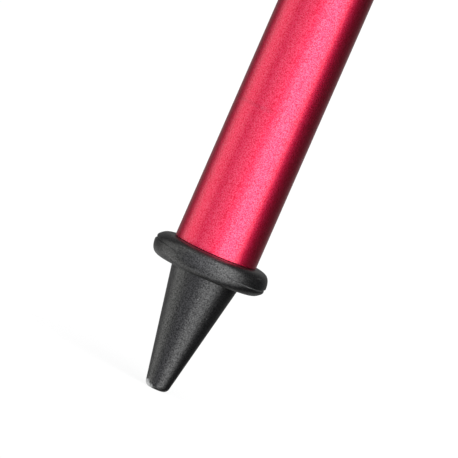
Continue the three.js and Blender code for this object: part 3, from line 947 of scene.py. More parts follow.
def basket_tree():
    """A dish with two rows of windows between its arms, a beaded rim, and a rib on each arm."""
    numbers = ["Hub", "Rim", "Height", "Drop", "Wall", "Bead"]
    tree, given = geometry_tree("snow basket", numbers, ["Plastic"], ["Arms"])
    rows, per_arm = 14, 12
    columns = calc(tree, "MULTIPLY_ADD", given["Arms"], per_arm, 1.0)
    counts = {"Size X": 1.0, "Size Y": 1.0, "Vertices X": columns, "Vertices Y": rows + 1}
    grid = add(tree, "GeometryNodeMeshGrid", counts)
    here = position(tree)
    around = calc(tree, "ADD", here["X"], 0.5)
    share = calc(tree, "ADD", here["Y"], 0.5)
    part = calc(tree, "FRACT", calc(tree, "MULTIPLY", around, given["Arms"]))
    beside = calc(tree, "ABSOLUTE", calc(tree, "SUBTRACT", part, 0.5))
    windows = []
    for first, last, half in ((2, 8, 0.34), (10, 13, 0.42)):
        narrow = calc(tree, "LESS_THAN", beside, half)
        above = calc(tree, "GREATER_THAN", share, first / rows)
        below = calc(tree, "LESS_THAN", share, last / rows)
        windows.append(calc(tree, "MULTIPLY", calc(tree, "MULTIPLY", above, below), narrow))
    opening = {"Geometry": grid, "Selection": calc(tree, "ADD", *windows)}
    opened = add(tree, "GeometryNodeDeleteGeometry", opening, domain="FACE")
    inner_rim = calc(tree, "MULTIPLY_ADD", given["Bead"], -1.0, given["Rim"])
    radius = spread(tree, share, 0.0, 1.0, given["Hub"], inner_rim)
    level = calc(tree, "SUBTRACT", given["Height"], given["Drop"])
    height = spread(tree, share, 0.0, 1.0, given["Height"], level)
    x, y = on_circle(tree, calc(tree, "MULTIPLY", around, 2 * math.pi), radius)
    dish = put(tree, opened, vector(tree, x, y, height))
    sewn = add(tree, "GeometryNodeMergeByDistance", {"Geometry": dish, "Distance": 1e-6})
    thick = {"Offset": upward(tree, given["Wall"]), "Offset Scale": 1.0, "Individual": False}
    raised = add(tree, "GeometryNodeExtrudeMesh", {"Mesh": sewn, **thick})
    both = together(tree, raised, add(tree, "GeometryNodeFlipFaces", {"Mesh": sewn}))
    closed = add(tree, "GeometryNodeMergeByDistance", {"Geometry": both, "Distance": 1e-6})

    bead = swept(tree, ring_of(tree, inner_rim, 128), ring_of(tree, given["Bead"], 20))
    bead_height = calc(tree, "SUBTRACT", calc(tree, "ADD", level, given["Bead"]), 0.0004)
    rim = transformed(tree, bead, Translation=upward(tree, bead_height))

    spots = add(tree, "GeometryNodeMeshCircle", {"Vertices": given["Arms"], "Radius": 0.0196})
    rib = smoothed(tree, block(tree, (0.0125, 0.0013, 0.0016), 6, 2, 2), 2)
    fall = calc(tree, "ARCTAN2", 0.0052, 0.0145)
    leaned = transformed(tree, rib, Rotation=vector(tree, 0.0, fall, 0.0))
    spot = position(tree)
    ribs = repeated(tree, spots, leaned, upward(tree, calc(tree, "ARCTAN2", spot["Y"], spot["X"])))
    middle = calc(tree, "MULTIPLY_ADD", given["Drop"], -0.5, given["Height"])
    on_top = calc(tree, "ADD", middle, given["Wall"])
    ribs_up = transformed(tree, ribs, Translation=upward(tree, on_top))
    close_tree(tree, together(tree, smoothed(tree, closed, 1), rim, ribs_up), given["Plastic"])
    return tree


class SKIPOLE_OT_basket(bpy.types.Operator):
    """Make the snow basket and the sleeve that it turns on"""

    bl_idname = "ski_pole.basket"
    bl_label = "Snow basket"

    def execute(self, context):
        basket = context.scene.ski_pole_basket
        base = SLEEVE_LOW.z
        hub_low, hub_high = base + 0.0037, base + 0.0083
        bore = 0.009
        hub = turned(
            "snow_basket_dish",
            [
                (bore, hub_low), (basket.hub_radius + 0.0006, hub_low - 0.0002),
                (basket.hub_radius + 0.0022, hub_low + 0.0012), (basket.hub_radius, hub_high),
                (bore, hub_high),
            ],
            0.0006,
        )
        painted(hub, glass_filled_nylon)
        values = {
            "Arms": basket.arms,
            "Hub": basket.hub_radius,
            "Rim": BASKET_HIGH.x,
            "Height": hub_low,
            "Drop": basket.drop,
            "Wall": basket.wall,
            "Bead": basket.bead,
            "Plastic": material(glass_filled_nylon),
        }
        joined(hub, grown(basket_tree(), values))
        placed(hub, "basket", "black_nylon", "snow_basket")

        bore, seat, top = 0.0073, 0.0087, SLEEVE_HIGH.z
        sleeve = turned(
            "basket_seat",
            [
                (bore, base), (seat + 0.0004, base), (seat + 0.0018, base + 0.001),
                (seat + 0.0018, base + 0.003), (seat, base + 0.0034), (seat, base + 0.0086),
                (seat + 0.0009, base + 0.0091), (seat + 0.0009, base + 0.010),
                (seat - 0.0002, base + 0.0122), (bore + 0.0005, top - 0.001), (bore + 0.0003, top),
                (bore, top),
            ],
            0.0004,
        )
        placed(painted(sleeve, glass_filled_nylon), "lower_section", "black_nylon", "basket_sleeve")
        return {"FINISHED"}


# ---- Length clamp ----


def mm(*points):
    """Points given in millimetres, in metres."""
    return [tuple(value * 0.001 for value in point) for point in points]


def row_tree(name):
    """Like bars or dots round an arc, each a block with softened edges that faces outwards."""
    numbers = ["Radius", "Start", "Step", "Height", "Deep", "Wide", "Tall"]
    tree, given = geometry_tree(name, numbers, ["Finish"], ["Count"])
    points = add(tree, "GeometryNodeMeshLine", {"Count": given["Count"]})
    index = add(tree, "GeometryNodeInputIndex")
    angle = calc(tree, "MULTIPLY_ADD", index, given["Step"], given["Start"])
    place = vector(tree, *on_circle(tree, angle, given["Radius"]), given["Height"])
    size = vector(tree, given["Deep"], given["Wide"], given["Tall"])
    soft = smoothed(tree, block(tree, size, 3, 3, 4), 1)
    bars = repeated(tree, put(tree, points, place), soft, upward(tree, angle))
    close_tree(tree, bars, given["Finish"])
    return tree


def thread_tree():
    """A screw thread: a ridge wound round a core."""
    tree, given = geometry_tree("screw thread", ["Radius", "Pitch", "Length"], ["Finish"])
    turns = calc(tree, "DIVIDE", given["Length"], given["Pitch"])
    radii = {"Start Radius": given["Radius"], "End Radius": given["Radius"]}
    sizes = {"Resolution": 28, "Rotations": turns, "Height": given["Length"], **radii}
    helix = add(tree, "GeometryNodeCurveSpiral", sizes)
    ridge = ring_of(tree, calc(tree, "MULTIPLY", given["Pitch"], 0.36), 4)
    close_tree(tree, swept(tree, helix, ridge, caps=True), given["Finish"])
    return tree


class SKIPOLE_OT_clamp(bpy.types.Operator):
    """Make the slit collar, the cam lever, and the clamp's pivot, screw, washer and nut"""

    bl_idname = "ski_pole.clamp"
    bl_label = "Length clamp"

    def collar(self, clamp, screw_x, screw_z, ear_face):
        base, top = COLLAR_LOW.z, COLLAR_HIGH.z
        outer = -COLLAR_LOW.x
        wide, narrow = UPPER_HIGH.x + 0.0003, LOWER_HIGH.x + 0.0003
        step = base + 0.0157
        profile = [(narrow, base), (outer - 0.0012, base), (outer, base + 0.0016)]
        for at in (0.0236, 0.0262, 0.0288):
            profile += [(outer, base + at - 0.0006), (outer - 0.00035, base + at - 0.0003)]
            profile += [(outer - 0.00035, base + at + 0.0003), (outer, base + at + 0.0006)]
        profile += [(outer, top - 0.002), (outer - 0.0012, top), (wide, top)]
        profile += [(wide, step), (narrow, step)]
        collar = turned("clamp_body", profile, 0.0007)
        reach = COLLAR_HIGH.x
        outline = [
            (0.0078, -ear_face), (reach, -ear_face), (reach, -clamp.slit / 2),
            (reach, clamp.slit / 2), (reach, ear_face), (0.0078, ear_face),
        ]
        ears = prism("ears", blend_round(outline, 0.0026, 6), base + 0.004, base + 0.020)
        bore = turned(
            "bore",
            [
                (0, base - 0.01), (narrow, base - 0.01), (narrow, step), (wide, step),
                (wide, top + 0.01), (0, top + 0.01),
            ],
        )
        slit = box(
            "slit", (0, -clamp.slit / 2, base - 0.01), (reach + 0.01, clamp.slit / 2, base + 0.026)
        )
        hole = laid_across(rod("hole", 0.0023, 0.04), screw_x, -0.02, screw_z)
        worked(ears, edge=0.0006, segments=3)
        worked(collar, joins=[ears], cuts=[bore, slit, hole])
        placed(painted(collar, glass_filled_nylon), "upper_section", "black_nylon", "clamp_collar")

    def lever(self, clamp, screw_x, pivot_y):
        low, high = LEVER_LOW.z, LEVER_HIGH.z
        middle = (low + high) / 2
        inside, outside = 0.0121, 0.015

        def around_pole(*places):
            """Points at (radius, angle) from the pole's axis."""
            turned_to = [(radius, math.radians(angle)) for radius, angle in places]
            return [(r * math.cos(angle), r * math.sin(angle)) for r, angle in turned_to]

        hub_side = [
            (screw_x + 0.0015, pivot_y - clamp.cam_radius + 0.0002),
            *mm((12.6, -16.7), (9, -17.0), (5.4, -16.5), (1.6, -15.7)),
        ]
        arm_side = around_pole(
            (outside + 0.0002, -96), (outside, -108), (outside, -122), (outside, -136),
            (outside + 0.0001, -148), (outside + 0.0009, -158), (outside + 0.0018, -164.4),
        )
        tip = around_pole(
            (outside + 0.0016, -165.5), (outside + 0.0008, -166.2), (inside + 0.001, -166.2),
            (inside + 0.0003, -165.8),
        )
        outline = [
            *curve_through(hub_side + arm_side, 6),
            *tip,
            *arc(0, 0, inside, -165, -64, 48),
            (0.0086, pivot_y + 0.003),
            (screw_x, pivot_y + 0.003),
        ]
        arm = worked(prism("clamp_cam_lever", outline, low, high), edge=0.0007, segments=3)
        hub = rod("hub", clamp.cam_radius, high - low, 96)
        hub.data.transform(Matrix.Translation((screw_x, pivot_y + clamp.eccentricity, low)))
        fork = box(
            "fork",
            (screw_x - 0.0064, pivot_y - 0.007, middle - 0.0028),
            (screw_x + 0.0064, pivot_y + 0.007, middle + 0.0028),
        )
        hole = rod("hole", clamp.pivot_radius + 0.00025, 0.03, 64)
        hole.data.transform(Matrix.Translation((screw_x, pivot_y, low - 0.005)))
        worked(hub, edge=0.0006, segments=3)
        worked(arm, joins=[hub], cuts=[fork, hole])
        painted(arm, red_acetal)
        values = {
            "Count": 5,
            "Radius": outside + 0.0004,
            "Start": math.radians(-133),
            "Step": math.radians(-4.2),
            "Height": middle,
            "Deep": 0.0009,
            "Wide": 0.0006,
            "Tall": (high - low) * 0.78,
            "Finish": material(red_acetal),
        }
        joined(arm, grown(row_tree("thumb ribs"), values))
        placed(arm, "lever", "red_plastic", "clamp_lever")

    def execute(self, context):
        clamp = context.scene.ski_pole_clamp
        screw_x = (SCREW_LOW.x + SCREW_HIGH.x) / 2
        screw_z = (SCREW_LOW.z + SCREW_HIGH.z) / 2
        ear_face = clamp.slit / 2 + clamp.ear
        pivot_y = WASHER_LOW.y - 0.0003 - clamp.cam_radius - clamp.eccentricity
        self.collar(clamp, screw_x, screw_z, ear_face)
        self.lever(clamp, screw_x, pivot_y)

        long = LEVER_HIGH.z - LEVER_LOW.z + 0.001
        r = clamp.pivot_radius
        barrel = turned(
            "lever_pivot",
            [
                (0, 0.0003), (0.0009, 0.0003), (0.0011, 0), (r - 0.0003, 0), (r, 0.0003),
                (r, long - 0.0003), (r - 0.0003, long), (0.0011, long), (0.0009, long - 0.0003),
                (0, long - 0.0003),
            ],
            0.0001,
            around=64,
        )
        barrel.data.transform(Matrix.Translation((screw_x, pivot_y, screw_z - long / 2)))
        tapped = laid_across(
            rod("tapped", clamp.screw_radius + 0.0002, 0.0096), screw_x, pivot_y - 0.0016, screw_z
        )
        worked(barrel, cuts=[tapped])
        placed(painted(barrel, zinc_plated_steel), "upper_section", "steel", "clamp_pivot")

        start, end = SCREW_LOW.y, SCREW_HIGH.y
        root = clamp.screw_radius - 0.00025
        threaded = 0.0105
        screw = turned(
            "clamp_stud",
            [
                (0, 0), (root - 0.0003, 0), (root, 0.0003), (root, end - start - 0.0004),
                (root - 0.0004, end - start), (0, end - start),
            ],
            0.0001,
            around=48,
        )
        values = {
            "Radius": root,
            "Pitch": clamp.thread_pitch,
            "Length": threaded,
            "Finish": material(zinc_plated_steel),
        }
        thread = grown(thread_tree(), values)
        thread.transform(Matrix.Translation((0, 0, end - start - threaded - 0.0004)))
        joined(painted(screw, zinc_plated_steel), thread)
        laid_across(screw, screw_x, start, screw_z)
        placed(screw, "upper_section", "steel", "clamp_screw")

        washer = box("saddle_plate", WASHER_LOW, WASHER_HIGH)
        hole = laid_across(rod("hole", 0.0023, 0.02), screw_x, -0.015, screw_z)
        worked(washer, cuts=[hole], edge=0.0003, segments=3)
        placed(painted(washer, zinc_plated_steel), "upper_section", "steel", "cam_washer")

        radius, thick = NUT_HIGH.z - screw_z, NUT_HIGH.y - NUT_LOW.y
        body = radius - 0.0003
        nut = turned(
            "clamp_thumb_nut",
            [
                (0.0021, 0), (0.0036, 0), (0.0038, 0.0008), (body - 0.0004, 0.0009),
                (body, 0.0014), (body, thick - 0.0008), (body - 0.0008, thick), (0.0032, thick),
                (0.003, thick - 0.0005), (0.0021, thick - 0.0005),
            ],
            0.0002,
        )
        values = {
            "Count": clamp.knurls,
            "Radius": body,
            "Start": 0.0,
            "Step": 2 * math.pi / clamp.knurls,
            "Height": (0.0014 + thick - 0.0008) / 2,
            "Deep": 0.0006,
            "Wide": 0.0008,
            "Tall": thick - 0.0022,
            "Finish": material(zinc_plated_steel),
        }
        joined(painted(nut, zinc_plated_steel), grown(row_tree("knurl"), values))
        laid_across(nut, screw_x, NUT_LOW.y, screw_z)
        placed(nut, "nut", "steel", "thumb_nut")
        return {"FINISHED"}


# ---- Grip ----

GRIP_AROUND = 144  # points round the grip
MOUTH = (-0.0235, 0.736)  # x and z of the strap's mouth in the head
ANCHOR_X = -0.0015  # the screw that the strap turns round


def oval(front, rear, side, z, power=2.3):
    """A rounded section of the grip: front is towards +X, rear towards the strap."""
    ring = []
    for i in range(GRIP_AROUND):
        angle = 2 * math.pi * i / GRIP_AROUND
        c, s = math.cos(angle), math.sin(angle)
        x = math.copysign(abs(c) ** (2 / power), c) * (front if c > 0 else rear)
        ring.append((x, math.copysign(abs(s) ** (2 / power), s) * side, z))
    return ring


def circle(radius, z):
    """A round ring with as many points as an oval."""
    return oval(radius, radius, radius, z, power=2.0)


def hand_skin(z):
    """Front, rear and side of the collar and rubber, from the grip's bottom up, in metres.

    A ridge stands between each pair of fingers, and the palm's side swells."""
    up = z * 1000
    fingers = 1.3 * math.cos(2 * math.pi * (up - 11.5) / 21)
    swell = math.sin(math.pi * min(94, max(0, up - 8)) / 94) ** 2
    flare = 1 - smooth_step(2, 16, up)
    crown = smooth_step(88, 104, up)
    front = 13.6 + fingers * (1 - flare) * (1 - crown) + 2.4 * flare + 5.6 * crown
    rear = 13.2 + 2.6 * swell + 2 * flare + 6.6 * crown
    side = 11.4 + 1.2 * swell + 1.8 * flare + 2.4 * crown
    return front * 0.001, rear * 0.001, side * 0.001


def hand_rings(low, high, edge_low, edge_high, step=0.0008):
    """Rings of the hand skin between two heights, their ends rounded by those radii."""
    rings = []
    count = max(2, round((high - low) / step))
    heights = [low + (high - low) * i / count for i in range(count + 1)]
    for edge, start, sign in ((edge_low, low, 1), (edge_high, high, -1)):
        heights += [start + sign * edge * k for k in (0.1, 0.3, 0.6)] if edge else []
    for z in sorted(heights):
        inset = 0.0
        for edge, gap in ((edge_low, z - low), (edge_high, high - z)):
            if edge and gap < edge:
                inset = edge - math.sqrt(edge**2 - (edge - gap) ** 2)
        front, rear, side = (value - inset for value in hand_skin(z))
        rings.append(oval(front, rear, side, z + GRIP_LOW.z))
    return rings


HEAD_SECTIONS = mm(
    (104, 19.2, 19.8, 13.8), (107, 20.8, 21.6, 14.3), (110, 22, 23, 14.7), (114, 22.6, 23.8, 15),
    (119, 22.4, 23.8, 15), (123, 21.4, 23.2, 14.6), (126, 19.8, 22, 13.7), (128, 18, 20.6, 12.5),
    (129.3, 16, 19, 11), (130, 13.6, 17.2, 9.4),
)


def head_rings():
    """Rings of the head, smooth through its sections, with a softened lower edge and crown."""
    rings = []
    z, *sizes = HEAD_SECTIONS[0]
    for inset, lift in ((0.0005, 0), (0.0002, 0.00015)):
        rings.append(oval(*(v - inset for v in sizes), z + lift + GRIP_LOW.z, power=2.5))
    for z, *sizes in curve_through(HEAD_SECTIONS, 4)[1:]:
        rings.append(oval(*sizes, z + GRIP_LOW.z, power=2.5))
    z, *sizes = HEAD_SECTIONS[-1]
    for share, lift in ((0.92, 0.00018), (0.8, 0.0003), (0.6, 0.0003)):
        rings.append(oval(*(v * share for v in sizes), z + lift + GRIP_LOW.z, power=2.5))
    return rings


def stud_tree():
    """Low round studs in staggered rows over the palm's side of the grip."""
    numbers = ["Low", "Step", "Reach", "Size"]
    tree, given = geometry_tree("palm studs", numbers, ["Rubber"], ["Rows", "Columns"])
    total = calc(tree, "MULTIPLY", given["Rows"], given["Columns"])
    points = add(tree, "GeometryNodeMeshLine", {"Count": total})
    index = add(tree, "GeometryNodeInputIndex")
    row = calc(tree, "FLOOR", calc(tree, "DIVIDE", index, given["Columns"]))
    column = calc(tree, "MODULO", index, given["Columns"])
    shifted = calc(tree, "MULTIPLY_ADD", calc(tree, "MODULO", row, 2.0), 0.5, column)
    last = calc(tree, "SUBTRACT", given["Columns"], 0.5)
    across = spread(tree, shifted, 0.0, last, math.pi - 1.05, math.pi + 1.05)
    height = calc(tree, "MULTIPLY_ADD", row, given["Step"], given["Low"])
    outward = vector(tree, *on_circle(tree, across, 1.0), 0.0)
    source = vector(tree, *on_circle(tree, across, given["Reach"]), height)
    inward = add(tree, "ShaderNodeVectorMath", {0: outward, "Scale": -1.0}, operation="SCALE")
    aim = {"Source Position": source, "Ray Direction": inward, "Ray Length": 0.1}
    ray = add(tree, "GeometryNodeRaycast", {"Target Geometry": given["Geometry"], **aim}).outputs
    sizes = {"Segments": 14, "Rings": 8, "Radius": given["Size"]}
    dot = transformed(tree, add(tree, "GeometryNodeMeshUVSphere", sizes), Scale=(1.0, 1.0, 0.5))
    on_skin = put(tree, points, ray["Hit Position"])
    close_tree(tree, repeated(tree, on_skin, dot, faced(tree, ray["Hit Normal"])), given["Rubber"])
    return tree


class SKIPOLE_OT_grip(bpy.types.Operator):
    """Make the grip's hard collar, rigid core, soft rubber, hard head, and anchor screw"""

    bl_idname = "ski_pole.grip"
    bl_label = "Grip"

    def execute(self, context):
        grip = context.scene.ski_pole_grip
        base = GRIP_LOW.z
        bore, seat = UPPER_HIGH.x + 0.0003, grip.core_radius + 0.0003
        top = grip.collar_top - 0.0003

        rings = hand_rings(0.0, top, 0.0014, 0.0003)
        inner = [(seat, top), (seat, 0.003), (bore, 0.003), (bore, 0.0004), (bore + 0.0004, 0.0)]
        rings += [circle(r, base + z) for r, z in inner]
        collar = make("grip_ring", *skin(rings, around_again=True))
        placed(painted(collar, glass_filled_nylon), "upper_section", "black_nylon", "grip_collar")

        rings = hand_rings(grip.collar_top, grip.rubber_top - 0.0003, 0.0003, 0.0003)
        rings += [circle(seat, base + z) for z in (grip.rubber_top - 0.0003, grip.collar_top)]
        rubber = make("grip_sleeve", *skin(rings, around_again=True))
        painted(rubber, soft_grip_rubber)
        low, high = 0.020, 0.088
        values = {
            "Rows": int((high - low) / grip.stud_step),
            "Columns": 10,
            "Low": base + low,
            "Step": grip.stud_step,
            "Reach": 0.05,
            "Size": grip.stud,
            "Rubber": material(soft_grip_rubber),
        }
        joined(rubber, grown(stud_tree(), values, source=rubber.data.copy()))
        placed(rubber, "upper_section", "grip_rubber", "grip_rubber")

        core_top = base + 0.109
        r = grip.core_radius
        core = turned(
            "grip_liner",
            [
                (bore, base + 0.0033), (r, base + 0.0033), (r, core_top - 0.001),
                (r - 0.001, core_top), (0, core_top), (0, core_top - 0.0017),
                (bore, core_top - 0.0017),
            ],
        )
        placed(painted(core, natural_acetal), "upper_section", "acetal", "grip_core")

        mouth_x, mouth_z = MOUTH
        head = make("grip_cap", *skin(head_rings(), close_ends=True))
        cuts = [
            rod("socket", seat, 0.0103 + 0.01, 96),
            box(
                "slot",
                (mouth_x - 0.005, -0.0105, mouth_z - 0.0036),
                (mouth_x + 0.027, 0.0105, mouth_z + 0.0036),
            ),
            box("pocket", (mouth_x + 0.0027, -0.0078, mouth_z), (mouth_x + 0.0153, 0.0078, 0.76)),
            laid_across(rod("hole", 0.0018, 0.04), ANCHOR_X, -0.02, mouth_z),
            laid_across(rod("seat_front", 0.0036, 0.03), ANCHOR_X, -0.040, mouth_z),
            laid_across(rod("seat_back", 0.0036, 0.03), ANCHOR_X, 0.010, mouth_z),
        ]
        cuts[0].data.transform(Matrix.Translation((0, 0, base + 0.1093 - 0.0203)))
        worked(head, cuts=cuts, edge=0.0005, segments=3, corner=45)
        placed(painted(head, glass_filled_nylon), "upper_section", "black_nylon", "grip_head")

        tall, reach, anchor_r = 0.0024, 0.0125, 0.0016
        head_r = (ANCHOR_HIGH.z - ANCHOR_LOW.z) / 2
        anchor = turned(
            "strap_anchor",
            [
                (0, 0), (head_r, 0), (head_r, tall - 0.0004), (anchor_r, tall),
                (anchor_r, reach + 0.005), (0, reach + 0.005),
            ],
            0.0003,
            around=64,
        )
        socket = rod("socket", 0.0015, 0.0014, 6)
        worked(anchor, cuts=[socket])
        laid_across(anchor, ANCHOR_X, -reach, mouth_z)
        placed(painted(anchor, zinc_plated_steel), "upper_section", "steel", "anchor_screw")
        nut = turned(
            "anchor_cap", [(0, 0), (head_r, 0), (head_r, tall), (0, tall)], 0.0003, around=64
        )
        socket = rod("socket", 0.0015, 0.002, 6)
        socket.data.transform(Matrix.Translation((0, 0, tall - 0.0014)))
        worked(nut, cuts=[socket])
        laid_across(nut, ANCHOR_X, reach - tall, mouth_z)
        placed(painted(nut, zinc_plated_steel), "upper_section", "steel", "anchor_nut")
        return {"FINISHED"}


# ---- Wrist strap ----

KEEPER_AT, KEEPER_SLOPE = (-0.013, -0.0039), math.radians(30)


def in_keeper(along, across):
    """A place in the keeper, from the mouth: along it towards the hand, and across it."""
    c, s = math.cos(KEEPER_SLOPE), math.sin(KEEPER_SLOPE)
    return (KEEPER_AT[0] - along * c - across * s, KEEPER_AT[1] - along * s + across * c)


def strap_path(layer):
    """The webbing's closed path in XZ, from the mouth: in round the anchor, then the hand loop."""
    inner = mm((1, 0.85), (7, 0.9), (13, 1.5), (18, 2.3))
    turn = arc(0.022, 0, 0.0025, 90, -90, 16)
    loop = [
        (-0.0018, layer),
        in_keeper(-0.0055, layer),
        in_keeper(0, layer),
        in_keeper(0.0055, layer),
        *mm(
            (-27, -14), (-41, -33), (-53, -62), (-59, -95), (-58.5, -130), (-49, -163),
            (-33, -178), (-17, -168), (-9, -140), (-8.5, -104), (-13, -62), (-20, -26),
            (-21, -14.5),
        ),
        in_keeper(0.0055, -layer),
        in_keeper(0, -layer),
        in_keeper(-0.0055, -layer),
        (-0.0018, -layer),
    ]
    back = [(x, -z) for x, z in inner[::-1]]
    return curve_through(inner, 4)[:-1] + turn + curve_through(back, 4) + curve_through(loop, 12)[
        ::-1
    ]


def webbing_tree():
    """A flat band with rounded edges, swept along a closed path, and its rows of stitches."""
    numbers = ["Width", "Thickness", "Stitch", "Sewn From", "Sewn To"]
    tree, given = geometry_tree("webbing", numbers, ["Yarn", "Thread"])

    def stored(curve, label, value):
        """The curve with a value kept on each of its points."""
        inputs = {"Geometry": curve, "Name": label, "Value": value}
        kind = {"data_type": "FLOAT", "domain": "POINT"}
        return add(tree, "GeometryNodeStoreNamedAttribute", inputs, **kind)

    path = add(tree, "GeometryNodeMeshToCurve", {"Mesh": given["Geometry"]})
    even = add(tree, "GeometryNodeResampleCurve", {"Curve": path, "Length": 0.0012}, mode="LENGTH")
    reach = add(tree, "GeometryNodeSplineParameter").outputs["Length"]
    size = {"Width": given["Width"], "Height": given["Thickness"]}
    section = add(tree, "GeometryNodeCurvePrimitiveQuadrilateral", size)
    edge = {"Radius": calc(tree, "MULTIPLY", given["Thickness"], 0.46), "Limit Radius": True}
    corners = {"Curve": section, "Count": 4, **edge}
    rounded = add(tree, "GeometryNodeFilletCurve", corners, mode="POLY")
    fine = add(tree, "GeometryNodeSubdivideCurve", {"Curve": rounded, "Cuts": 2})
    marked = stored(fine, "across", position(tree)["X"])
    band = swept(tree, stored(even, "along", reach), marked)
    yarn = add(tree, "GeometryNodeSetMaterial", {"Geometry": band, "Material": given["Yarn"]})

    ends = {"Start_001": given["Sewn From"], "End_001": given["Sewn To"]}
    sewn = add(tree, "GeometryNodeTrimCurve", {"Curve": even, **ends}, mode="LENGTH")
    gap = calc(tree, "MULTIPLY", given["Stitch"], 1.3)
    spots = add(tree, "GeometryNodeCurveToPoints", {"Curve": sewn, "Length": gap}, mode="LENGTH")
    facing = faced(tree, (0.0, 1.0, 0.0), axis="Y", pivot_axis="X")
    feed(tree, facing, {"Rotation": faced(tree, spots.outputs["Tangent"], axis="X")})
    bead = add(tree, "GeometryNodeMeshUVSphere", {"Segments": 8, "Rings": 6, "Radius": 0.5})
    size = vector(tree, given["Stitch"], 0.0005, 0.0004)
    stitches = []
    for across in (0.42, 0.34, -0.34, -0.42):
        for level in (0.5, -0.5):
            side = calc(tree, "MULTIPLY", given["Width"], across)
            there = vector(tree, 0.0, side, calc(tree, "MULTIPLY", given["Thickness"], level))
            stitch = transformed(tree, bead, Translation=there, Scale=size)
            stitches.append(repeated(tree, spots, stitch, facing))
    real = add(tree, "GeometryNodeRealizeInstances", {"Geometry": together(tree, *stitches)})
    threads = add(tree, "GeometryNodeSetMaterial", {"Geometry": real, "Material": given["Thread"]})
    add(tree, "NodeGroupOutput", {0: together(tree, threads, yarn)})
    return tree


class SKIPOLE_OT_strap(bpy.types.Operator):
    """Make the wrist strap, its keeper, and the wedge that locks its length"""

    bl_idname = "ski_pole.strap"
    bl_label = "Wrist strap"

    def execute(self, context):
        strap = context.scene.ski_pole_strap
        path = [(x + MOUTH[0], 0.0, z + MOUTH[1]) for x, z in strap_path(0.00085)]
        line = bpy.data.meshes.new("strap_path")
        count = len(path)
        line.from_pydata(path, [(i, (i + 1) % count) for i in range(count)], [])
        values = {
            "Width": strap.width,
            "Thickness": strap.thickness,
            "Stitch": strap.stitch,
            "Sewn From": 0.10,
            "Sewn To": 0.13,
            "Yarn": material(woven_polyester),
            "Thread": material(sewing_thread),
        }
        band = bpy.data.objects.new("wrist_strap", grown(webbing_tree(), values, source=line))
        context.collection.objects.link(band)
        for polygon in band.data.polygons:
            polygon.use_smooth = True
        band.data.set_sharp_from_angle(angle=SHARP)
        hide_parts("strap_ends", "strap_loop")
        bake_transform(band)

        half_long, half_high, wall = 0.0045, 0.0034, 0.0014
        keeper = box(
            "webbing_keeper", (-half_long, -0.0122, -half_high), (half_long, 0.0122, half_high)
        )
        inside = half_high - wall + 0.0002
        window = box("window", (-0.02, -0.0104, -inside), (0.02, 0.0104, inside))
        worked(keeper, cuts=[window], edge=0.0007, segments=3)
        keeper.data.transform(
            Matrix.Translation(
                (MOUTH[0] + KEEPER_AT[0], 0, MOUTH[1] + KEEPER_AT[1])
            ) @ Matrix.Rotation(-KEEPER_SLOPE, 4, "Y")
        )
        placed(painted(keeper, glass_filled_nylon), "strap", "black_nylon", "strap_keeper")

        outline = mm((3, 1.95), (11, 2.15), (15, 3.55), (15, 13.8))
        for tooth in (13.4, 11.8, 10.2, 8.6):
            outline += mm((tooth + 0.45, 13.8), (tooth, 13.35), (tooth - 0.45, 13.8))
        outline += mm((6, 13.8), (4.6, 14.6), (3, 13.6))
        moved = [(x + MOUTH[0], z + MOUTH[1]) for x, z in blend_round(outline, 0.0006)]
        half_width = (WEDGE_HIGH.y - WEDGE_LOW.y) / 2
        wedge = prism_across("strap_lock", moved, half_width)
        proud = 0.0004
        rear = curve_through(HEAD_SECTIONS[:8], 5)
        sections = [*rear, (WEDGE_HIGH.z - GRIP_LOW.z + 0.01, *rear[-1][1:])]
        rings = [
            oval(*(size + proud for size in sizes), z + GRIP_LOW.z, power=2.5)
            for z, *sizes in sections
        ]
        shell = make("shell", *skin(rings, close_ends=True))
        worked(wedge, within=[shell], edge=0.0004, segments=2, corner=50)
        placed(painted(wedge, red_acetal), "wedge", "red_plastic", "strap_wedge")
        return {"FINISHED"}


# ---- Stage ----

LEAN = math.radians(23.66)  # how far the pole leans to the right in the view
LOOK_DOWN = math.radians(4.5)
FRAME_WIDTH = 0.0732  # width of the view at the pole, in metres
# Tall softboxes round the pole: the azimuth in degrees from the camera's side towards +X, half
# the width and half the soft edge, the light level with the eye and near the floor, and the tint.
SOFTBOXES = (
    ("key", 36, 22, 16, 4.8, 3.2, "#ffffff"),
    ("front fill", -18, 30, 14, 1.9, 0.9, "#f8f8ff"),
    ("left strip", -86, 22, 14, 1.7, 2.0, "#fffffb"),
    ("low left fill", -125, 30, 20, 0.0, 0.6, "#ffffff"),
    ("back fill", 180, 30, 20, 0.2, 0.3, "#ffffff"),
)


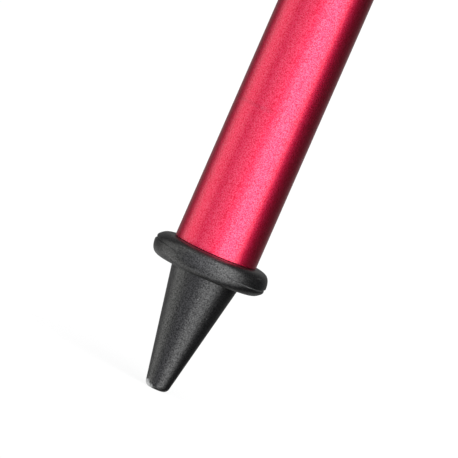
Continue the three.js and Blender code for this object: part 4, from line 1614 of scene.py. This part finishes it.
class SKIPOLE_OT_stage(bpy.types.Operator):
    """Make the pale floor, the soft studio light and the camera"""

    bl_idname = "ski_pole.stage"
    bl_label = "Stage"

    def world(self):
        world = bpy.data.worlds.new("studio")
        bpy.context.scene.world = world
        world.use_nodes = True
        tree = world.node_tree
        tree.nodes.clear()
        way = add(tree, "ShaderNodeTexCoord").outputs["Generated"]
        height = add(tree, "ShaderNodeSeparateXYZ", {0: way}).outputs["Z"]
        level = add(tree, "ShaderNodeVectorMath", {0: way, 1: (1, 1, 0)}, operation="MULTIPLY")
        flat = add(tree, "ShaderNodeVectorMath", {0: level}, operation="NORMALIZE")
        light = vector(tree, 0.06, 0.06, 0.06)
        for _, azimuth, half_width, edge, strong, low, tint in SOFTBOXES:
            a = math.radians(azimuth)
            facing = add(
                tree,
                "ShaderNodeVectorMath",
                {0: flat, 1: (math.sin(a), -math.cos(a), 0)},
                operation="DOT_PRODUCT",
            )
            lit = add(
                tree,
                "ShaderNodeMapRange",
                {
                    "Value": facing.outputs["Value"],
                    "From Min": math.cos(math.radians(half_width + edge)),
                    "From Max": math.cos(math.radians(half_width - edge)),
                },
                interpolation_type="SMOOTHSTEP",
            )
            bright = spread(tree, height, -0.14, -0.4, strong, low)
            both = calc(tree, "MULTIPLY", lit, bright)
            glow = add(
                tree,
                "ShaderNodeVectorMath",
                {0: linear(tint)[:3], "Scale": both},
                operation="SCALE",
            )
            light = add(tree, "ShaderNodeVectorMath", {0: light, 1: glow}, operation="ADD")
        surround = add(tree, "ShaderNodeBackground", {"Color": light, "Strength": 1.0})
        seen = add(tree, "ShaderNodeBackground", {"Color": (1.0, 1.0, 1.0, 1.0), "Strength": 1.0})
        which = add(
            tree,
            "ShaderNodeMixShader",
            {0: add(tree, "ShaderNodeLightPath").outputs["Is Camera Ray"], 1: surround, 2: seen},
        )
        add(tree, "ShaderNodeOutputWorld", {"Surface": which})

    def floor(self):
        wide = 40.0
        floor = make(
            "studio_floor",
            [(-wide, -wide, 0), (wide, -wide, 0), (wide, wide, 0), (-wide, wide, 0)],
            [(0, 1, 2, 3)],
        )
        pale, _, _ = new_material(
            "pale studio floor",
            base_color=(0.12, 0.12, 0.12, 1.0),
            roughness=0.9,
            specular_ior_level=0.0,
            emission_color=(1.0, 1.0, 1.0, 1.0),
            emission_strength=0.88,
        )
        floor.data.materials.append(pale)
        floor.visible_glossy = False
        floor.visible_diffuse = False

    def lamp(self, name, azimuth, elevation, distance, wide, tall, power):
        """A large soft light that faces the tip. Azimuth 0 is the camera's side."""
        data = bpy.data.lights.new(name, "AREA")
        data.shape = "RECTANGLE"
        data.size, data.size_y = wide, tall
        data.energy = power
        lamp = bpy.data.objects.new(name, data)
        bpy.context.collection.objects.link(lamp)
        a, e = math.radians(azimuth), math.radians(elevation)
        back = Vector((math.sin(a) * math.cos(e), -math.cos(a) * math.cos(e), math.sin(e)))
        lamp.location = back * distance
        lamp.rotation_euler = (-back).to_track_quat("-Z", "Y").to_euler()
        lamp.visible_camera = False

    def camera(self):
        data = bpy.data.cameras.new("camera")
        data.lens, data.sensor_width = 400, 36
        data.clip_start, data.clip_end = 0.01, 200
        camera = bpy.data.objects.new("camera", data)
        bpy.context.collection.objects.link(camera)
        level, up = Vector((1, 0, 0)), Vector((0, math.sin(LOOK_DOWN), math.cos(LOOK_DOWN)))
        ahead = Vector((0, math.cos(LOOK_DOWN), -math.sin(LOOK_DOWN)))
        right = level * math.cos(LEAN) + up * math.sin(LEAN)
        above = up * math.cos(LEAN) - level * math.sin(LEAN)
        turn = Matrix((right, above, -ahead)).transposed().to_4x4()
        aim = Vector((0.000496, 0, 0.02826))
        distance = data.lens * FRAME_WIDTH / data.sensor_width
        camera.matrix_world = Matrix.Translation(aim - ahead * distance) @ turn
        bpy.context.scene.camera = camera

    def execute(self, context):
        context.scene.view_settings.view_transform = "Standard"
        self.world()
        self.floor()
        self.lamp("overhead", 0, 85, 3.0, 2.5, 2.5, 8)
        self.camera()
        return {"FINISHED"}


# ---- Panel and registration ----


class SKIPOLE_PT_panel(bpy.types.Panel):
    """Lists the pieces' sizes and the operators that make them"""

    bl_label = "Ski Pole"
    bl_idname = "SKIPOLE_PT_panel"
    bl_space_type = "VIEW_3D"
    bl_region_type = "UI"
    bl_category = "Ski Pole"

    def draw(self, context):
        for name in GROUPS:
            column = self.layout.column(align=True)
            group = getattr(context.scene, name)
            for key in group.bl_rna.properties.keys():
                if key not in ("rna_type", "name"):
                    column.prop(group, key)
        for operator in OPERATORS:
            self.layout.operator(operator.bl_idname)


OPERATORS = (
    SKIPOLE_OT_tip,
    SKIPOLE_OT_tubes,
    SKIPOLE_OT_basket,
    SKIPOLE_OT_clamp,
    SKIPOLE_OT_grip,
    SKIPOLE_OT_strap,
    SKIPOLE_OT_stage,
)


def register():
    for group in GROUPS.values():
        bpy.utils.register_class(group)
    for name, group in GROUPS.items():
        setattr(bpy.types.Scene, name, PointerProperty(type=group))
    for kind in (*OPERATORS, SKIPOLE_PT_panel):
        bpy.utils.register_class(kind)


def unregister():
    for kind in (SKIPOLE_PT_panel, *reversed(OPERATORS)):
        bpy.utils.unregister_class(kind)
    for name, group in GROUPS.items():
        delattr(bpy.types.Scene, name)
        bpy.utils.unregister_class(group)


def main():
    register()
    for operator in OPERATORS:
        space, name = operator.bl_idname.split(".")
        getattr(getattr(bpy.ops, space), name)()


if __name__ == "__main__":
    main()
